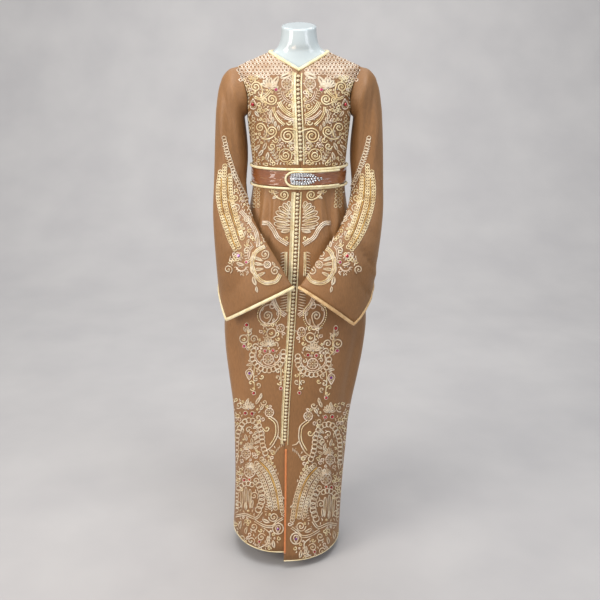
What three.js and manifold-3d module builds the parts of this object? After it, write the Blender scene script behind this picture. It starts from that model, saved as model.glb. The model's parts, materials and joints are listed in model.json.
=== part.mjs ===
// A long embroidered kaftan, buttoned down the front and belted, on a limbless dress form with a stand.
// Millimetres, +Z up, -Y to the front, origin under the middle of the stand's base plate.
// The wearer's right is at -X. Each cloth panel is a thin wall with the shape of the worn cloth.
import * as THREE from "three";
import { mergeVertices } from "three/addons/utils/BufferGeometryUtils.js";
import Module from "manifold-3d";

const wasm = await Module();
wasm.setup();

// ---- Driving dimensions -------------------------------------------------------------------------
const CLOTH = 1.6; // wall of the outer cloth with its facing
const SEAM = 0.3; // gap between neighbouring pieces
const HEM_LEFT = 32; // hem height of the wearer's left front, which laps over
const HEM_RIGHT = 62; // hem height of the wearer's right front
const SLIT_TOP = 441; // the buttons end here and the front hangs open below
const NECK_POINT = { x: 86, z: 1578 }; // where the neckline meets the shoulder seam
const V_POINT_Z = 1532; // bottom of the V neck
const BACK_NECK_DROP = 9;
const SHOULDER_Z = 1541; // shoulder seam meets the sleeve here
const ARMHOLE = { middle: 1473, half: 68, reach: 0.44 }; // reach is in radians round the body
const BELT = { z: 1237, height: 62, tilt: 7, stand: 3.6, thick: 2.6 };
const BUTTON = { radius: 4.6, cord: 1.5, pitch: 13 };
const PLACKET = { wide: [-18.5, -6.5], narrow: [6, 10.2], thick: 2.2 };
const CORD = { cuff: 5, neck: 4.8, hem: 2, belt: 4 }; // radii of the edge cords
const STAND = { base: 100, plate: 8, pole: 15, formFoot: 838 };

// Sections of the worn garment and the neck above it: half width, depth to the front and to the back,
// squareness of the plan, and how far the cloth hangs aside.
const SECTIONS = [
  { z: 20, half: 177, front: 180, back: 152, square: 2.2, aside: -44 },
  { z: 225, half: 175, front: 173, back: 150, square: 2.2, aside: -34 },
  { z: 370, half: 180, front: 167, back: 149, square: 2.2, aside: -28 },
  { z: 515, half: 185, front: 160, back: 148, square: 2.2, aside: -23 },
  { z: 610, half: 200, front: 157, back: 148, square: 2.2, aside: -19 },
  { z: 770, half: 221, front: 151, back: 147, square: 2.2, aside: -12 },
  { z: 900, half: 202, front: 146, back: 142, square: 2.2, aside: -8 },
  { z: 1000, half: 176, front: 139, back: 134, square: 2.2, aside: -5 },
  { z: 1100, half: 152, front: 128, back: 120, square: 2.2, aside: -3 },
  { z: 1180, half: 137, front: 117, back: 106, square: 2.2, aside: -1 },
  { z: 1243, half: 133, front: 112, back: 99, square: 2.2, aside: 0 },
  { z: 1300, half: 138, front: 117, back: 102, square: 2.25, aside: 0 },
  { z: 1380, half: 146, front: 125, back: 106, square: 2.3, aside: 0 },
  { z: 1425, half: 150, front: 123, back: 105, square: 2.3, aside: 0 },
  { z: 1480, half: 159, front: 107, back: 94, square: 2.3, aside: 0 },
  { z: 1520, half: 168, front: 83, back: 77, square: 2.1, aside: 0 },
  { z: 1541, half: 171, front: 68, back: 66, square: 1.9, aside: 0 },
  { z: 1550, half: 152, front: 63, back: 63, square: 1.8, aside: 0 },
  { z: 1560, half: 129, front: 59, back: 62, square: 1.75, aside: 0 },
  { z: 1570, half: 104, front: 57, back: 62, square: 1.75, aside: 0 },
  { z: 1578, half: 86, front: 56, back: 62, square: 1.8, aside: 0 },
  { z: 1592, half: 63, front: 55, back: 61, square: 2, aside: 0 },
  { z: 1608, half: 54, front: 54, back: 58, square: 2, aside: 0 },
  { z: 1628, half: 50, front: 53, back: 54, square: 2, aside: 0 },
  { z: 1655, half: 49, front: 53, back: 51, square: 2, aside: 0 },
];

// How far the line of buttons lies aside of the middle of the front.
const BUTTON_LINE = [
  { z: 20, drift: -5 },
  { z: 60, drift: -6 },
  { z: 250, drift: -12 },
  { z: 441, drift: -17 },
  { z: 600, drift: -16 },
  { z: 780, drift: -11 },
  { z: 930, drift: -7 },
  { z: 1060, drift: -4 },
  { z: 1190, drift: -2.5 },
  { z: 1225, drift: 0 },
  { z: 1285, drift: 6 },
  { z: 1400, drift: 2 },
  { z: 1500, drift: -2 },
  { z: 1535, drift: 0 },
  { z: 1580, drift: 0 },
];

// Soft folds: where each ridge stands round the body (0 is the wearer's left, -90 the front),
// its width in degrees, how far it stands out, and the heights between which it runs.
const FOLDS = [
  { at: -112, wide: 6, out: 6, low: 820, high: 1190 },
  { at: -68, wide: 6, out: 5, low: 800, high: 1190 },
  { at: -132, wide: 8, out: 8, low: 560, high: 1190 },
  { at: -47, wide: 7, out: 9, low: 600, high: 1190 },
  { at: -156, wide: 8, out: 7, low: 300, high: 1190 },
  { at: -22, wide: 8, out: 8, low: 260, high: 1190 },
  { at: 14, wide: 8, out: 7, low: 220, high: 1190 },
  { at: 38, wide: 7, out: 9, low: 60, high: 1190 },
  { at: 62, wide: 7, out: 8, low: 120, high: 1190 },
  { at: 86, wide: 8, out: 10, low: 20, high: 1190 },
  { at: 112, wide: 7, out: 8, low: 90, high: 1190 },
  { at: 137, wide: 7, out: 9, low: 60, high: 1190 },
  { at: 164, wide: 8, out: 7, low: 240, high: 1190 },
  { at: 70, wide: 8, out: 4, low: 1270, high: 1420 },
  { at: 110, wide: 8, out: 4, low: 1270, high: 1410 },
  { at: -30, wide: 7, out: 3, low: 1270, high: 1400 },
  { at: -150, wide: 7, out: 3, low: 1270, high: 1400 },
];

// Sections of a sleeve from just outside the armhole to the mouth, for the side at +X: the outer fold,
// the fold on the inner side, how far the flattened tube bows forward round the body, half its
// thickness, and how much of the mouth's pointed edge it already has.
const SLEEVE = [
  { ox: 196, oy: 0, oz: 1535, ix: 155, iy: 0, iz: 1399, bow: 0, half: 65, point: 0 },
  { ox: 219, oy: 0, oz: 1509, ix: 153, iy: 4, iz: 1380, bow: 2, half: 61, point: 0 },
  { ox: 231, oy: 0, oz: 1466, ix: 150, iy: 8, iz: 1350, bow: 4, half: 56, point: 0 },
  { ox: 239, oy: 0, oz: 1400, ix: 147, iy: 8, iz: 1310, bow: 4, half: 52, point: 0 },
  { ox: 244, oy: 0, oz: 1320, ix: 148, iy: 2, iz: 1262, bow: 2, half: 48, point: 0 },
  { ox: 247, oy: 0, oz: 1240, ix: 155, iy: -20, iz: 1212, bow: 2, half: 44, point: 0 },
  { ox: 248, oy: -2, oz: 1165, ix: 147, iy: -66, iz: 1158, bow: 8, half: 39, point: 0.04 },
  { ox: 247, oy: -5, oz: 1095, ix: 123, iy: -112, iz: 1105, bow: 20, half: 37, point: 0.12 },
  { ox: 246, oy: -8, oz: 1030, ix: 82, iy: -150, iz: 1056, bow: 32, half: 37, point: 0.32 },
  { ox: 245, oy: -12, oz: 975, ix: 44, iy: -171, iz: 1002, bow: 39, half: 37, point: 0.66 },
  { ox: 244, oy: -15, oz: 925, ix: 12, iy: -183, iz: 951, bow: 43, half: 37, point: 1 },
];
// Soft ridges along each sleeve: turn round the tube (0 is the outer fold, PI/2 its front), the turn it
// drifts by on the way down, its width, how far it stands out, and the table rows between which it runs.
const SLEEVE_FOLDS = [
  { turn: 0.9, drift: 0.25, wide: 0.34, out: 4.5, start: 1, end: 9 },
  { turn: 1.9, drift: -0.2, wide: 0.34, out: 4, start: 2, end: 8 },
  { turn: 5.3, drift: -0.3, wide: 0.36, out: 4.5, start: 1.5, end: 9 },
  { turn: 4.2, drift: 0.2, wide: 0.36, out: 4, start: 2, end: 8 },
];
// The mouth's lowest corner lies this share of the way from the outer fold to the inner one, and the
// inner fold's end is drawn back by reach, so that the two mouths meet beside the middle.
const SLEEVE_SIDES = {
  right: { sign: -1, corner: 0.3, drop: 96, outward: -8, reach: 6 },
  left: { sign: 1, corner: 0.48, drop: 102, outward: -26, reach: -10 },
};
const SKIRT_CLEAR = { top: 1180, gap: 11 }; // the hanging sleeve stands off the skirt
const BACK_LAYER_DROP = 0.8; // the mouth's back layer is cut a little shorter

// ---- Curves and walls ---------------------------------------------------------------------------
const lerp = (a, b, s) => a + (b - a) * s;
const smooth = (s) => {
  const c = Math.min(1, Math.max(0, s));
  return c * c * (3 - 2 * c);
};

// Reads a table at a height or a place between its rows, with a cubic through the rows.
function readTable(rows, key, at) {
  let i = 0;
  while (i < rows.length - 2 && at > rows[i + 1][key]) i++;
  const row = (k) => rows[Math.min(rows.length - 1, Math.max(0, k))];
  const [r0, r1, r2, r3] = [row(i - 1), row(i), row(i + 1), row(i + 2)];
  const span = r2[key] - r1[key];
  const s = (at - r1[key]) / span;
  const read = {};
  for (const name of Object.keys(r1)) {
    const slope1 = r2[key] === r0[key] ? 0 : ((r2[name] - r0[name]) / (r2[key] - r0[key])) * span;
    const slope2 = r3[key] === r1[key] ? 0 : ((r3[name] - r1[name]) / (r3[key] - r1[key])) * span;
    const s2 = s * s;
    const s3 = s2 * s;
    read[name] =
      (2 * s3 - 3 * s2 + 1) * r1[name] + (s3 - 2 * s2 + s) * slope1 +
      (3 * s2 - 2 * s3) * r2[name] + (s3 - s2) * slope2;
  }
  return read;
}

function foldHeight(angle, z) {
  let out = 0;
  for (const fold of FOLDS) {
    const length = fold.high - fold.low;
    const along = smooth((z - fold.low) / (0.6 * length)) * smooth((fold.high - z) / (0.14 * length));
    let turn = (THREE.MathUtils.radToDeg(angle) - fold.at) % 360;
    if (turn > 180) turn -= 360;
    if (turn < -180) turn += 360;
    out += fold.out * along * Math.exp(-((turn / fold.wide) ** 2));
  }
  return out;
}

// A point of the worn cloth's outer face: angle is 0 at the wearer's left and -PI/2 at the front.
function bodyOutline(angle, z, folded) {
  const s = readTable(SECTIONS, "z", z);
  const c = Math.cos(angle);
  const x = s.half * Math.sign(c) * Math.abs(c) ** (2 / s.square);
  const y = (Math.sin(angle) < 0 ? s.front : s.back) * Math.sin(angle);
  const stretch = folded ? 1 + foldHeight(angle, z) / Math.hypot(x, y) : 1;
  return new THREE.Vector3(s.aside + x * stretch, y * stretch, z);
}

function surfaceNormal(point, u, v, du, dv) {
  const alongU = point(u + du, v).sub(point(u - du, v));
  const alongV = point(u, v + dv).sub(point(u, v - dv));
  return alongU.cross(alongV).normalize();
}

function onBody(angle, z, out = 0, folded = true) {
  const face = (a, h) => bodyOutline(a, h, folded);
  return face(angle, z).addScaledVector(surfaceNormal(face, angle, z, 0.01, 0.5), out);
}

// The angle at which the front of the body lies this far from the line of buttons.
function frontAngle(fromButtons, z) {
  const s = readTable(SECTIONS, "z", z);
  const aside = fromButtons + readTable(BUTTON_LINE, "z", z).drift;
  const turn = Math.acos(Math.min(1, Math.abs(aside) / s.half) ** (s.square / 2));
  return aside >= 0 ? -turn : turn - Math.PI;
}

function meshGeometry(points, faces) {
  const flat = new Float32Array(points.length * 3);
  points.forEach((p, i) => p.toArray(flat, i * 3));
  let volume = 0;
  for (const [a, b, c] of faces) volume += points[a].dot(points[b].clone().cross(points[c]));
  const index = volume < 0 ? faces.flatMap(([a, b, c]) => [a, c, b]) : faces.flat();
  const geometry = new THREE.BufferGeometry();
  geometry.setAttribute("position", new THREE.BufferAttribute(flat, 3));
  geometry.setIndex(index);
  return geometry;
}

// A closed wall between two grids of points, rows of equal length. A ring's rows join up with themselves.
function wallBetween(outer, inner, ring = false) {
  const rows = outer.length;
  const columns = outer[0].length;
  const points = [...outer.flat(), ...inner.flat()];
  const at = (side, i, j) => side * rows * columns + i * columns + (j % columns);
  const faces = [];
  const quad = (a, b, c, d) => faces.push([a, b, c], [a, c, d]);
  const lastColumn = ring ? columns : columns - 1;
  for (let i = 0; i < rows - 1; i++) {
    for (let j = 0; j < lastColumn; j++) {
      quad(at(0, i, j), at(0, i, j + 1), at(0, i + 1, j + 1), at(0, i + 1, j));
      quad(at(1, i, j + 1), at(1, i, j), at(1, i + 1, j), at(1, i + 1, j + 1));
    }
    if (ring) continue;
    quad(at(1, i, 0), at(0, i, 0), at(0, i + 1, 0), at(1, i + 1, 0));
    quad(at(0, i, lastColumn), at(1, i, lastColumn), at(1, i + 1, lastColumn), at(0, i + 1, lastColumn));
  }
  for (let j = 0; j < lastColumn; j++) {
    quad(at(1, 0, j), at(1, 0, j + 1), at(0, 0, j + 1), at(0, 0, j));
    quad(at(0, rows - 1, j), at(0, rows - 1, j + 1), at(1, rows - 1, j + 1), at(1, rows - 1, j));
  }
  return meshGeometry(points, faces);
}

// A wall whose outer and inner faces follow place(row, column, depth below the outer face).
function wallFrom(rows, columns, thick, place, ring = false) {
  const grid = (depth) =>
    Array.from({ length: rows }, (_, i) => Array.from({ length: columns }, (_, j) => place(i, j, depth)));
  return wallBetween(grid(0), grid(thick), ring);
}

// A round cord along a chain of points, closed on itself or with flat ends, of one radius or one a point.
function cordGeometry(path, radii, sides, closed = false) {
  const count = path.length;
  const rings = path.map((p, i) => {
    const before = path[closed ? (i + count - 1) % count : Math.max(0, i - 1)];
    const after = path[closed ? (i + 1) % count : Math.min(count - 1, i + 1)];
    const along = after.clone().sub(before).normalize();
    const side = new THREE.Vector3(p.x, p.y + 0.001, 0).normalize().cross(along).normalize();
    const up = along.clone().cross(side);
    return Array.from({ length: sides }, (_, k) => {
      const turn = (2 * Math.PI * (k + 0.5)) / sides;
      const radius = Array.isArray(radii) ? radii[i] : radii;
      return p.clone().addScaledVector(side, radius * Math.cos(turn)).addScaledVector(up, radius * Math.sin(turn));
    });
  });
  const points = rings.flat();
  const faces = [];
  for (let i = 0; i < (closed ? count : count - 1); i++)
    for (let k = 0; k < sides; k++) {
      const [a, b] = [i * sides + k, i * sides + ((k + 1) % sides)];
      const [c, d] = [((i + 1) % count) * sides + ((k + 1) % sides), ((i + 1) % count) * sides + k];
      faces.push([a, b, c], [a, c, d]);
    }
  if (!closed)
    for (let k = 1; k < sides - 1; k++) {
      faces.push([0, k + 1, k]);
      const last = (count - 1) * sides;
      faces.push([last, last + k, last + k + 1]);
    }
  return meshGeometry(points, faces);
}

// A cord's path along an edge: each point moves away from the panel, square to the edge within the surface.
// The edge is a list of { rim, inward, normal } with inward pointing into the panel.
function besideEdge(edge, distance, closed = false) {
  const count = edge.length;
  return edge.map(({ rim, inward, normal }, i) => {
    const before = edge[closed ? (i + count - 1) % count : Math.max(0, i - 1)].rim;
    const after = edge[closed ? (i + 1) % count : Math.min(count - 1, i + 1)].rim;
    const side = (from, to) => {
      const square = to.clone().sub(from).cross(normal).normalize();
      return square.multiplyScalar(square.dot(inward) > 0 ? -1 : 1);
    };
    if (before === rim) return rim.clone().addScaledVector(side(rim, after), distance);
    if (after === rim) return rim.clone().addScaledVector(side(before, rim), distance);
    const [one, two] = [side(before, rim), side(rim, after)];
    const between = one.clone().add(two).normalize();
    return rim.clone().addScaledVector(between, distance / Math.max(0.45, between.dot(one)));
  });
}

function solidFrom(geometry) {
  const bare = geometry.index ? geometry.toNonIndexed() : geometry.clone();
  bare.deleteAttribute("normal");
  bare.deleteAttribute("uv");
  const merged = mergeVertices(bare, 1e-3);
  return new wasm.Manifold(
    new wasm.Mesh({
      numProp: 3,
      vertProperties: merged.attributes.position.array,
      triVerts: new Uint32Array(merged.index.array),
    }),
  );
}

function geometryFrom(solid) {
  const mesh = solid.getMesh();
  const points = [];
  for (let i = 0; i < mesh.numVert; i++)
    points.push(new THREE.Vector3().fromArray(mesh.vertProperties, i * mesh.numProp));
  const faces = [];
  for (let i = 0; i < mesh.triVerts.length; i += 3) faces.push([...mesh.triVerts.slice(i, i + 3)]);
  return meshGeometry(points, faces);
}

// ---- Materials and the scene graph --------------------------------------------------------------
const material = (color, roughness, metalness = 0) =>
  new THREE.MeshStandardMaterial({ color, roughness, metalness });
const crepe = material(0xa87845, 0.75);
const goldBraid = material(0xe2cf96, 0.5, 0.3);
const goldBead = material(0xd8c9a0, 0.35, 0.5);
const beltSatin = material(0x8a5230, 0.3);
const rustSatin = material(0xc07038, 0.45);
const crystal = material(0xe8ecf2, 0.1, 0.2);
const whiteGloss = material(0xf2f6f6, 0.2);
const steel = material(0xb8bcc0, 0.35, 0.9);

const kaftan = new THREE.Group();
function addPart(name, geometry, look) {
  const mesh = new THREE.Mesh(geometry, look);
  mesh.name = name;
  kaftan.add(mesh);
}

// ---- Front and back panels ----------------------------------------------------------------------
// Heights of the rows: the lower ones follow the hem, the upper ones follow the neckline.
const SLEEVE_COLUMNS = 20;
const armholeRow = (k) => ARMHOLE.middle - ARMHOLE.half * Math.cos((2 * Math.PI * k) / SLEEVE_COLUMNS);
const LOW_ROWS = [
  0, 105, 215, 325, 396, 441, 510, 595, 680, 765, 845, 925, 1000, 1068, 1125, 1168, 1196, 1218, 1243, 1272, 1312,
  1362, ...[0, 1, 2, 3, 4, 5].map(armholeRow),
];
const TOP_ROWS = [...[6, 7, 8, 9, 10].map(armholeRow), 1552, 1564, NECK_POINT.z];
const NECK_START = LOW_ROWS.at(-1);

// The front panels hang at their own levels, and the back's hem joins them at the side seams.
const backHem = (angle) => lerp(HEM_LEFT, HEM_RIGHT, angle / Math.PI);

// Height of the neckline above a given angle: a straight V in front and a shallow curve behind.
function neckline(angle) {
  if (Math.sin(angle) >= 0) return NECK_POINT.z - BACK_NECK_DROP * Math.sin(angle) ** 2;
  let [low, high] = [V_POINT_Z, NECK_POINT.z];
  for (let k = 0; k < 30; k++) {
    const z = (low + high) / 2;
    const s = readTable(SECTIONS, "z", z);
    const x = s.half * Math.abs(Math.cos(angle)) ** (2 / s.square);
    if ((x / NECK_POINT.x) * (NECK_POINT.z - V_POINT_Z) + V_POINT_Z > z) low = z;
    else high = z;
  }
  return (low + high) / 2;
}

function rowHeight(row, angle, hem) {
  if (row >= LOW_ROWS.length) {
    const share = (TOP_ROWS[row - LOW_ROWS.length] - NECK_START) / (NECK_POINT.z - NECK_START);
    return lerp(NECK_START, neckline(angle), share);
  }
  const z = LOW_ROWS[row];
  return z < SLIT_TOP ? lerp(hem, SLIT_TOP, z / SLIT_TOP) : z;
}

// How far a panel's edge is drawn back from the side seam, in radians, at the armhole.
function armholeCut(z) {
  const rise = (z - ARMHOLE.middle) / ARMHOLE.half;
  return Math.abs(rise) < 1 ? ARMHOLE.reach * Math.sqrt(1 - rise * rise) : 0;
}

const PANEL_ROWS = LOW_ROWS.length + TOP_ROWS.length;
const edgeHeight = (row) => (row < LOW_ROWS.length ? LOW_ROWS[row] : TOP_ROWS[row - LOW_ROWS.length]);

function sideCut(row, deep) {
  const half = SEAM / 2 / deep;
  return Math.max(half, armholeCut(edgeHeight(row)));
}

const UNDERLAP = { width: 15, drop: 4.2, fade: 26 };

// A front panel, from the centre front to its side seam and armhole.
function frontPanel(sign) {
  const columns = 12;
  return wallFrom(PANEL_ROWS, columns, CLOTH, (row, column, depth) => {
    const hem = sign > 0 ? HEM_LEFT : HEM_RIGHT;
    const middle = rowHeight(row, -Math.PI / 2, hem);
    // Below the buttons the wearer's right front dips first and then runs on under the left one.
    const dip = sign < 0 ? smooth((SLIT_TOP + 50 - middle) / 50) : 0;
    const under = sign < 0 ? smooth((SLIT_TOP - middle) / 45) : 0;
    const start = frontAngle(sign * (SEAM / 2) - sign * UNDERLAP.width * under, middle);
    const section = readTable(SECTIONS, "z", edgeHeight(row));
    const end = sign > 0 ? -sideCut(row, section.front) : sideCut(row, section.front) - Math.PI;
    const share = column / (columns - 1);
    const angle = lerp(start, end, share);
    const z = rowHeight(row, angle, hem);
    const line = readTable(SECTIONS, "z", z).aside + readTable(BUTTON_LINE, "z", z).drift;
    const fromMiddle = -sign * (onBody(angle, z).x - line);
    const tuck = dip * UNDERLAP.drop * smooth(1 + (fromMiddle + UNDERLAP.drop) / UNDERLAP.fade);
    return onBody(angle, z, -depth - tuck);
  });
}

function backPanel() {
  const columns = 20;
  return wallFrom(PANEL_ROWS, columns, CLOTH, (row, column, depth) => {
    const cut = sideCut(row, readTable(SECTIONS, "z", edgeHeight(row)).back);
    const angle = lerp(cut, Math.PI - cut, column / (columns - 1));
    return onBody(angle, rowHeight(row, angle, backHem(angle)), -depth);
  });
}

addPart("front_right", frontPanel(-1), crepe);
addPart("front_left", frontPanel(1), crepe);
addPart("back", backPanel(), crepe);

// ---- Sleeves ------------------------------------------------------------------------------------
function sleeveFoldHeight(turn, along) {
  let out = 0;
  for (const fold of SLEEVE_FOLDS) {
    const share = (along - fold.start) / (fold.end - fold.start);
    const middle = fold.turn + fold.drift * share;
    out += fold.out * smooth(3 * share) * smooth(3 * (1 - share)) * Math.exp(-(((turn - middle) / fold.wide) ** 2));
  }
  return out;
}

// A point on the armhole's edge; turn is 0 at the shoulder seam and PI at the side seam.
function armholePoint(turn, shrink) {
  const z = ARMHOLE.middle + (ARMHOLE.half - shrink) * Math.cos(turn);
  const section = readTable(SECTIONS, "z", z);
  const reach = ARMHOLE.reach - shrink / (0.5 * (section.front + section.back));
  return onBody(-reach * Math.sin(turn), z);
}

function mouthDrop(share, side) {
  return share < side.corner ? share / side.corner : (1 - share) / (1 - side.corner);
}

function sleeveRing(turn, along, row, side) {
  const lowered = smooth(row.point);
  const outerX = row.ox + side.outward * smooth((1300 - row.oz) / 400);
  const outer = new THREE.Vector3(outerX, row.oy, row.oz);
  const inner = new THREE.Vector3(row.ix + side.reach * lowered, row.iy, row.iz);
  const chord = outer.clone().sub(inner);
  const unit = chord.clone().normalize();
  const forward = new THREE.Vector3(0, -1, 0);
  forward.addScaledVector(unit, -forward.dot(unit)).normalize();
  const s = Math.sin(turn);
  const p = outer.clone().add(inner).multiplyScalar(0.5).addScaledVector(chord, 0.5 * Math.cos(turn));
  p.addScaledVector(forward, row.bow * Math.abs(s) ** 1.5 + row.half * s);
  const fold = sleeveFoldHeight(turn, along);
  p.addScaledVector(unit, fold * Math.cos(turn)).addScaledVector(forward, fold * s);
  const share = (1 - Math.cos(turn)) / 2;
  p.z -= side.drop * lowered * mouthDrop(share, side) * (s < 0 ? BACK_LAYER_DROP : 1);
  return p;
}

// Moves a point of the hanging sleeve out until it clears the skirt beneath it.
function clearOfSkirt(p, side) {
  if (p.z > SKIRT_CLEAR.top) return p;
  const s = readTable(SECTIONS, "z", p.z);
  const x = side.sign * p.x - s.aside;
  const depth = p.y < 0 ? s.front : s.back;
  const reach = Math.hypot(x, p.y);
  let [small, large] = [0.2, 3];
  for (let k = 0; k < 30; k++) {
    const scale = (small + large) / 2;
    if (Math.abs((x * scale) / s.half) ** s.square + ((p.y * scale) / depth) ** 2 < 1) small = scale;
    else large = scale;
  }
  const angle = Math.atan2((p.y * small) / depth, Math.sign(x) * Math.abs((x * small) / s.half) ** (s.square / 2));
  const needed = reach * small + foldHeight(angle, p.z) + SKIRT_CLEAR.gap;
  if (reach >= needed) return p;
  return new THREE.Vector3(side.sign * (s.aside + (x * needed) / reach), (p.y * needed) / reach, p.z);
}

// A sleeve's outer face; along is 0 at the armhole and runs to the number of table rows at the mouth.
function sleeveOutline(turn, along, side) {
  const rows = SLEEVE.map((row, i) => ({ at: i + 1, ...row }));
  if (along >= 1) return clearOfSkirt(sleeveRing(turn, along, readTable(rows, "at", along), side), side);
  const ring = sleeveRing(turn, 1, rows[0], side);
  return armholePoint(turn, SEAM + 0.5).lerp(ring, along);
}

function onSleeve(turn, along, side, out = 0) {
  const face = (a, b) => sleeveOutline(a, b, side);
  const at = Math.min(SLEEVE.length - 0.02, Math.max(0.02, along));
  const p = face(turn, along).addScaledVector(surfaceNormal(face, turn, at, 0.02, 0.02), out);
  p.x *= side.sign;
  return p;
}

const CUFF_GAP = 0.9;
const SLEEVE_STEPS = [0, 0.5, 1, 1.5, 2, 2.5, 3, 3.6, 4.2, 5, 6, 7, 7.7, 8.4, 9, 9.7, 10.4, 11];
// Even steps round the armhole, and one column on each corner of the mouth.
function sleeveTurn(k, count, along, side) {
  const even = (2 * Math.PI * k) / count;
  const corner = Math.acos(1 - 2 * side.corner);
  const near = (turn) => (Math.abs(even - turn) <= Math.PI / count ? turn - even : 0);
  return even + (near(corner) + near(2 * Math.PI - corner)) * smooth(along / SLEEVE.length);
}

for (const [name, side] of Object.entries(SLEEVE_SIDES)) {
  const wall = wallFrom(
    SLEEVE_STEPS.length,
    SLEEVE_COLUMNS,
    CLOTH,
    (row, column, depth) => {
      const along = SLEEVE_STEPS[row];
      return onSleeve(sleeveTurn(column, SLEEVE_COLUMNS, along, side), along, side, -depth);
    },
    true,
  );
  addPart(`sleeve_${name}`, wall, crepe);
  const edge = SLEEVE.length;
  const mouth = Array.from({ length: SLEEVE_COLUMNS }, (_, k) => {
    const turn = sleeveTurn(k, SLEEVE_COLUMNS, edge, side);
    const rim = onSleeve(turn, edge, side, -CLOTH / 2);
    const inward = onSleeve(turn, edge - 0.3, side, -CLOTH / 2).sub(rim);
    const normal = onSleeve(turn, edge, side, CLOTH).sub(rim).normalize();
    return { rim, inward, normal };
  });
  const cuff = besideEdge(mouth, CORD.cuff + CUFF_GAP, true);
  addPart(`cuff_cord_${name}`, cordGeometry(cuff, CORD.cuff, 6, true), goldBraid);
}

// ---- Placket braids, buttons and the slit's binding ----------------------------------------------
// A strip lying on the front between two distances from the centre line. Its rows follow the panels' rows.
function frontStrip([near, far], low, high, lift, thick) {
  const inside = [...Array(PANEL_ROWS).keys()].filter((row) => {
    const z = rowHeight(row, frontAngle(near, edgeHeight(row)), HEM_LEFT);
    return z > low + 3 && z < high - 3;
  });
  const rows = [low, ...inside.map((row) => ({ row })), high];
  return wallFrom(rows.length, 2, thick, (i, column, depth) => {
    const aside = lerp(near, far, column);
    const row = rows[i].row;
    const guess = row === undefined ? rows[i] : edgeHeight(row);
    const z = row === undefined ? guess : rowHeight(row, frontAngle(aside, Math.min(guess, V_POINT_Z)), HEM_LEFT);
    return onBody(frontAngle(aside, z), z, lift + thick - depth);
  });
}

const STRIP_LIFT = 0.6;
const bandTop = (aside) => V_POINT_Z - 7 + (Math.abs(aside) / NECK_POINT.x) * (NECK_POINT.z - V_POINT_Z);
addPart(
  "placket_right",
  frontStrip(PLACKET.wide, SLIT_TOP - 6, bandTop(PLACKET.wide[1]) - 1, STRIP_LIFT, PLACKET.thick),
  goldBraid,
);
addPart(
  "placket_left",
  frontStrip(PLACKET.narrow, SLIT_TOP - 6, bandTop(PLACKET.narrow[0]) - 1, STRIP_LIFT, PLACKET.thick),
  goldBraid,
);

// Knotted silk buttons stand in a row, one after another on the cord that holds their loops.
function buttonRow(top, bottom) {
  const count = Math.floor((top - bottom) / BUTTON.pitch) + 1;
  const path = [];
  const radii = [];
  for (let k = 0; k < 2 * count + 1; k++) {
    const radius = k % 2 ? BUTTON.radius : BUTTON.cord;
    const z = top - (BUTTON.pitch / 2) * (k - 1);
    path.push(onBody(frontAngle(0, z), z, STRIP_LIFT + 0.2 + radius));
    radii.push(radius);
  }
  return cordGeometry(path, radii, 5);
}

const beltTop = BELT.z + BELT.tilt + BELT.height / 2;
const beltBottom = BELT.z + BELT.tilt - BELT.height / 2;
addPart("buttons_bodice", buttonRow(V_POINT_Z - 12, beltTop + 12), goldBead);
addPart("buttons_skirt", buttonRow(beltBottom - 12, SLIT_TOP + 6), goldBead);

// The satin binding on the free edge of the wearer's left front, below the buttons.
addPart(
  "slit_binding",
  frontStrip([0.6, 7.6], HEM_LEFT + 1, SLIT_TOP - 8, SEAM, 2),
  rustSatin,
);

// ---- Neckline and hem ------------------------------------------------------------------------------
// The neckline's round cord lies just beyond the cut edge, and clear of the form inside.
const NECK_CORD_OUT = CORD.neck - CLOTH + 0.1;
function neckCord(from, to, count) {
  const edge = Array.from({ length: count }, (_, k) => {
    const angle = lerp(from, to, k / (count - 1));
    const rim = onBody(angle, neckline(angle), NECK_CORD_OUT);
    const inward = onBody(angle, neckline(angle) - 3, NECK_CORD_OUT).sub(rim);
    const normal = onBody(angle, neckline(angle), NECK_CORD_OUT + 1).sub(rim);
    return { rim, inward, normal };
  });
  return cordGeometry(besideEdge(edge, CORD.neck - 0.2), CORD.neck, 6);
}
const NECK_START_ANGLE = 0.045; // clears the two cords where they meet under the throat
const ROUND_SEAM = 0.035;
addPart("neck_cord_left", neckCord(-Math.PI / 2 + NECK_START_ANGLE, -ROUND_SEAM, 14), goldBraid);
addPart("neck_cord_right", neckCord(-Math.PI / 2 - NECK_START_ANGLE, ROUND_SEAM - Math.PI, 14), goldBraid);
addPart("neck_cord_back", neckCord(ROUND_SEAM, Math.PI - ROUND_SEAM, 20), goldBraid);

// Thin cord round each panel's hem.
function hemCord(from, to, count, hem) {
  const path = Array.from({ length: count }, (_, k) => {
    const angle = lerp(from, to, k / (count - 1));
    return onBody(angle, hem(angle) - CORD.hem - SEAM, -CLOTH / 2);
  });
  return cordGeometry(path, CORD.hem, 4);
}
const SIDE_CLEAR = 0.02;
addPart("hem_cord_left", hemCord(frontAngle(3, HEM_LEFT), -SIDE_CLEAR, 16, () => HEM_LEFT), goldBraid);
addPart("hem_cord_right", hemCord(frontAngle(-26, HEM_RIGHT), SIDE_CLEAR - Math.PI, 16, () => HEM_RIGHT), goldBraid);
addPart("hem_cord_back", hemCord(SIDE_CLEAR, Math.PI - SIDE_CLEAR, 28, backHem), goldBraid);

// ---- Belt and brooch ------------------------------------------------------------------------------
function onBelt(angle, rise, out) {
  return onBody(angle, BELT.z - BELT.tilt * Math.sin(angle) + rise, BELT.stand + out, false);
}

const BELT_STEPS = 40;
addPart(
  "belt",
  wallFrom(
    3,
    BELT_STEPS,
    BELT.thick,
    (row, column, depth) =>
      onBelt((2 * Math.PI * column) / BELT_STEPS, (row / 2 - 0.5) * (BELT.height - 4 * CORD.belt), BELT.thick - depth),
    true,
  ),
  beltSatin,
);

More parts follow.
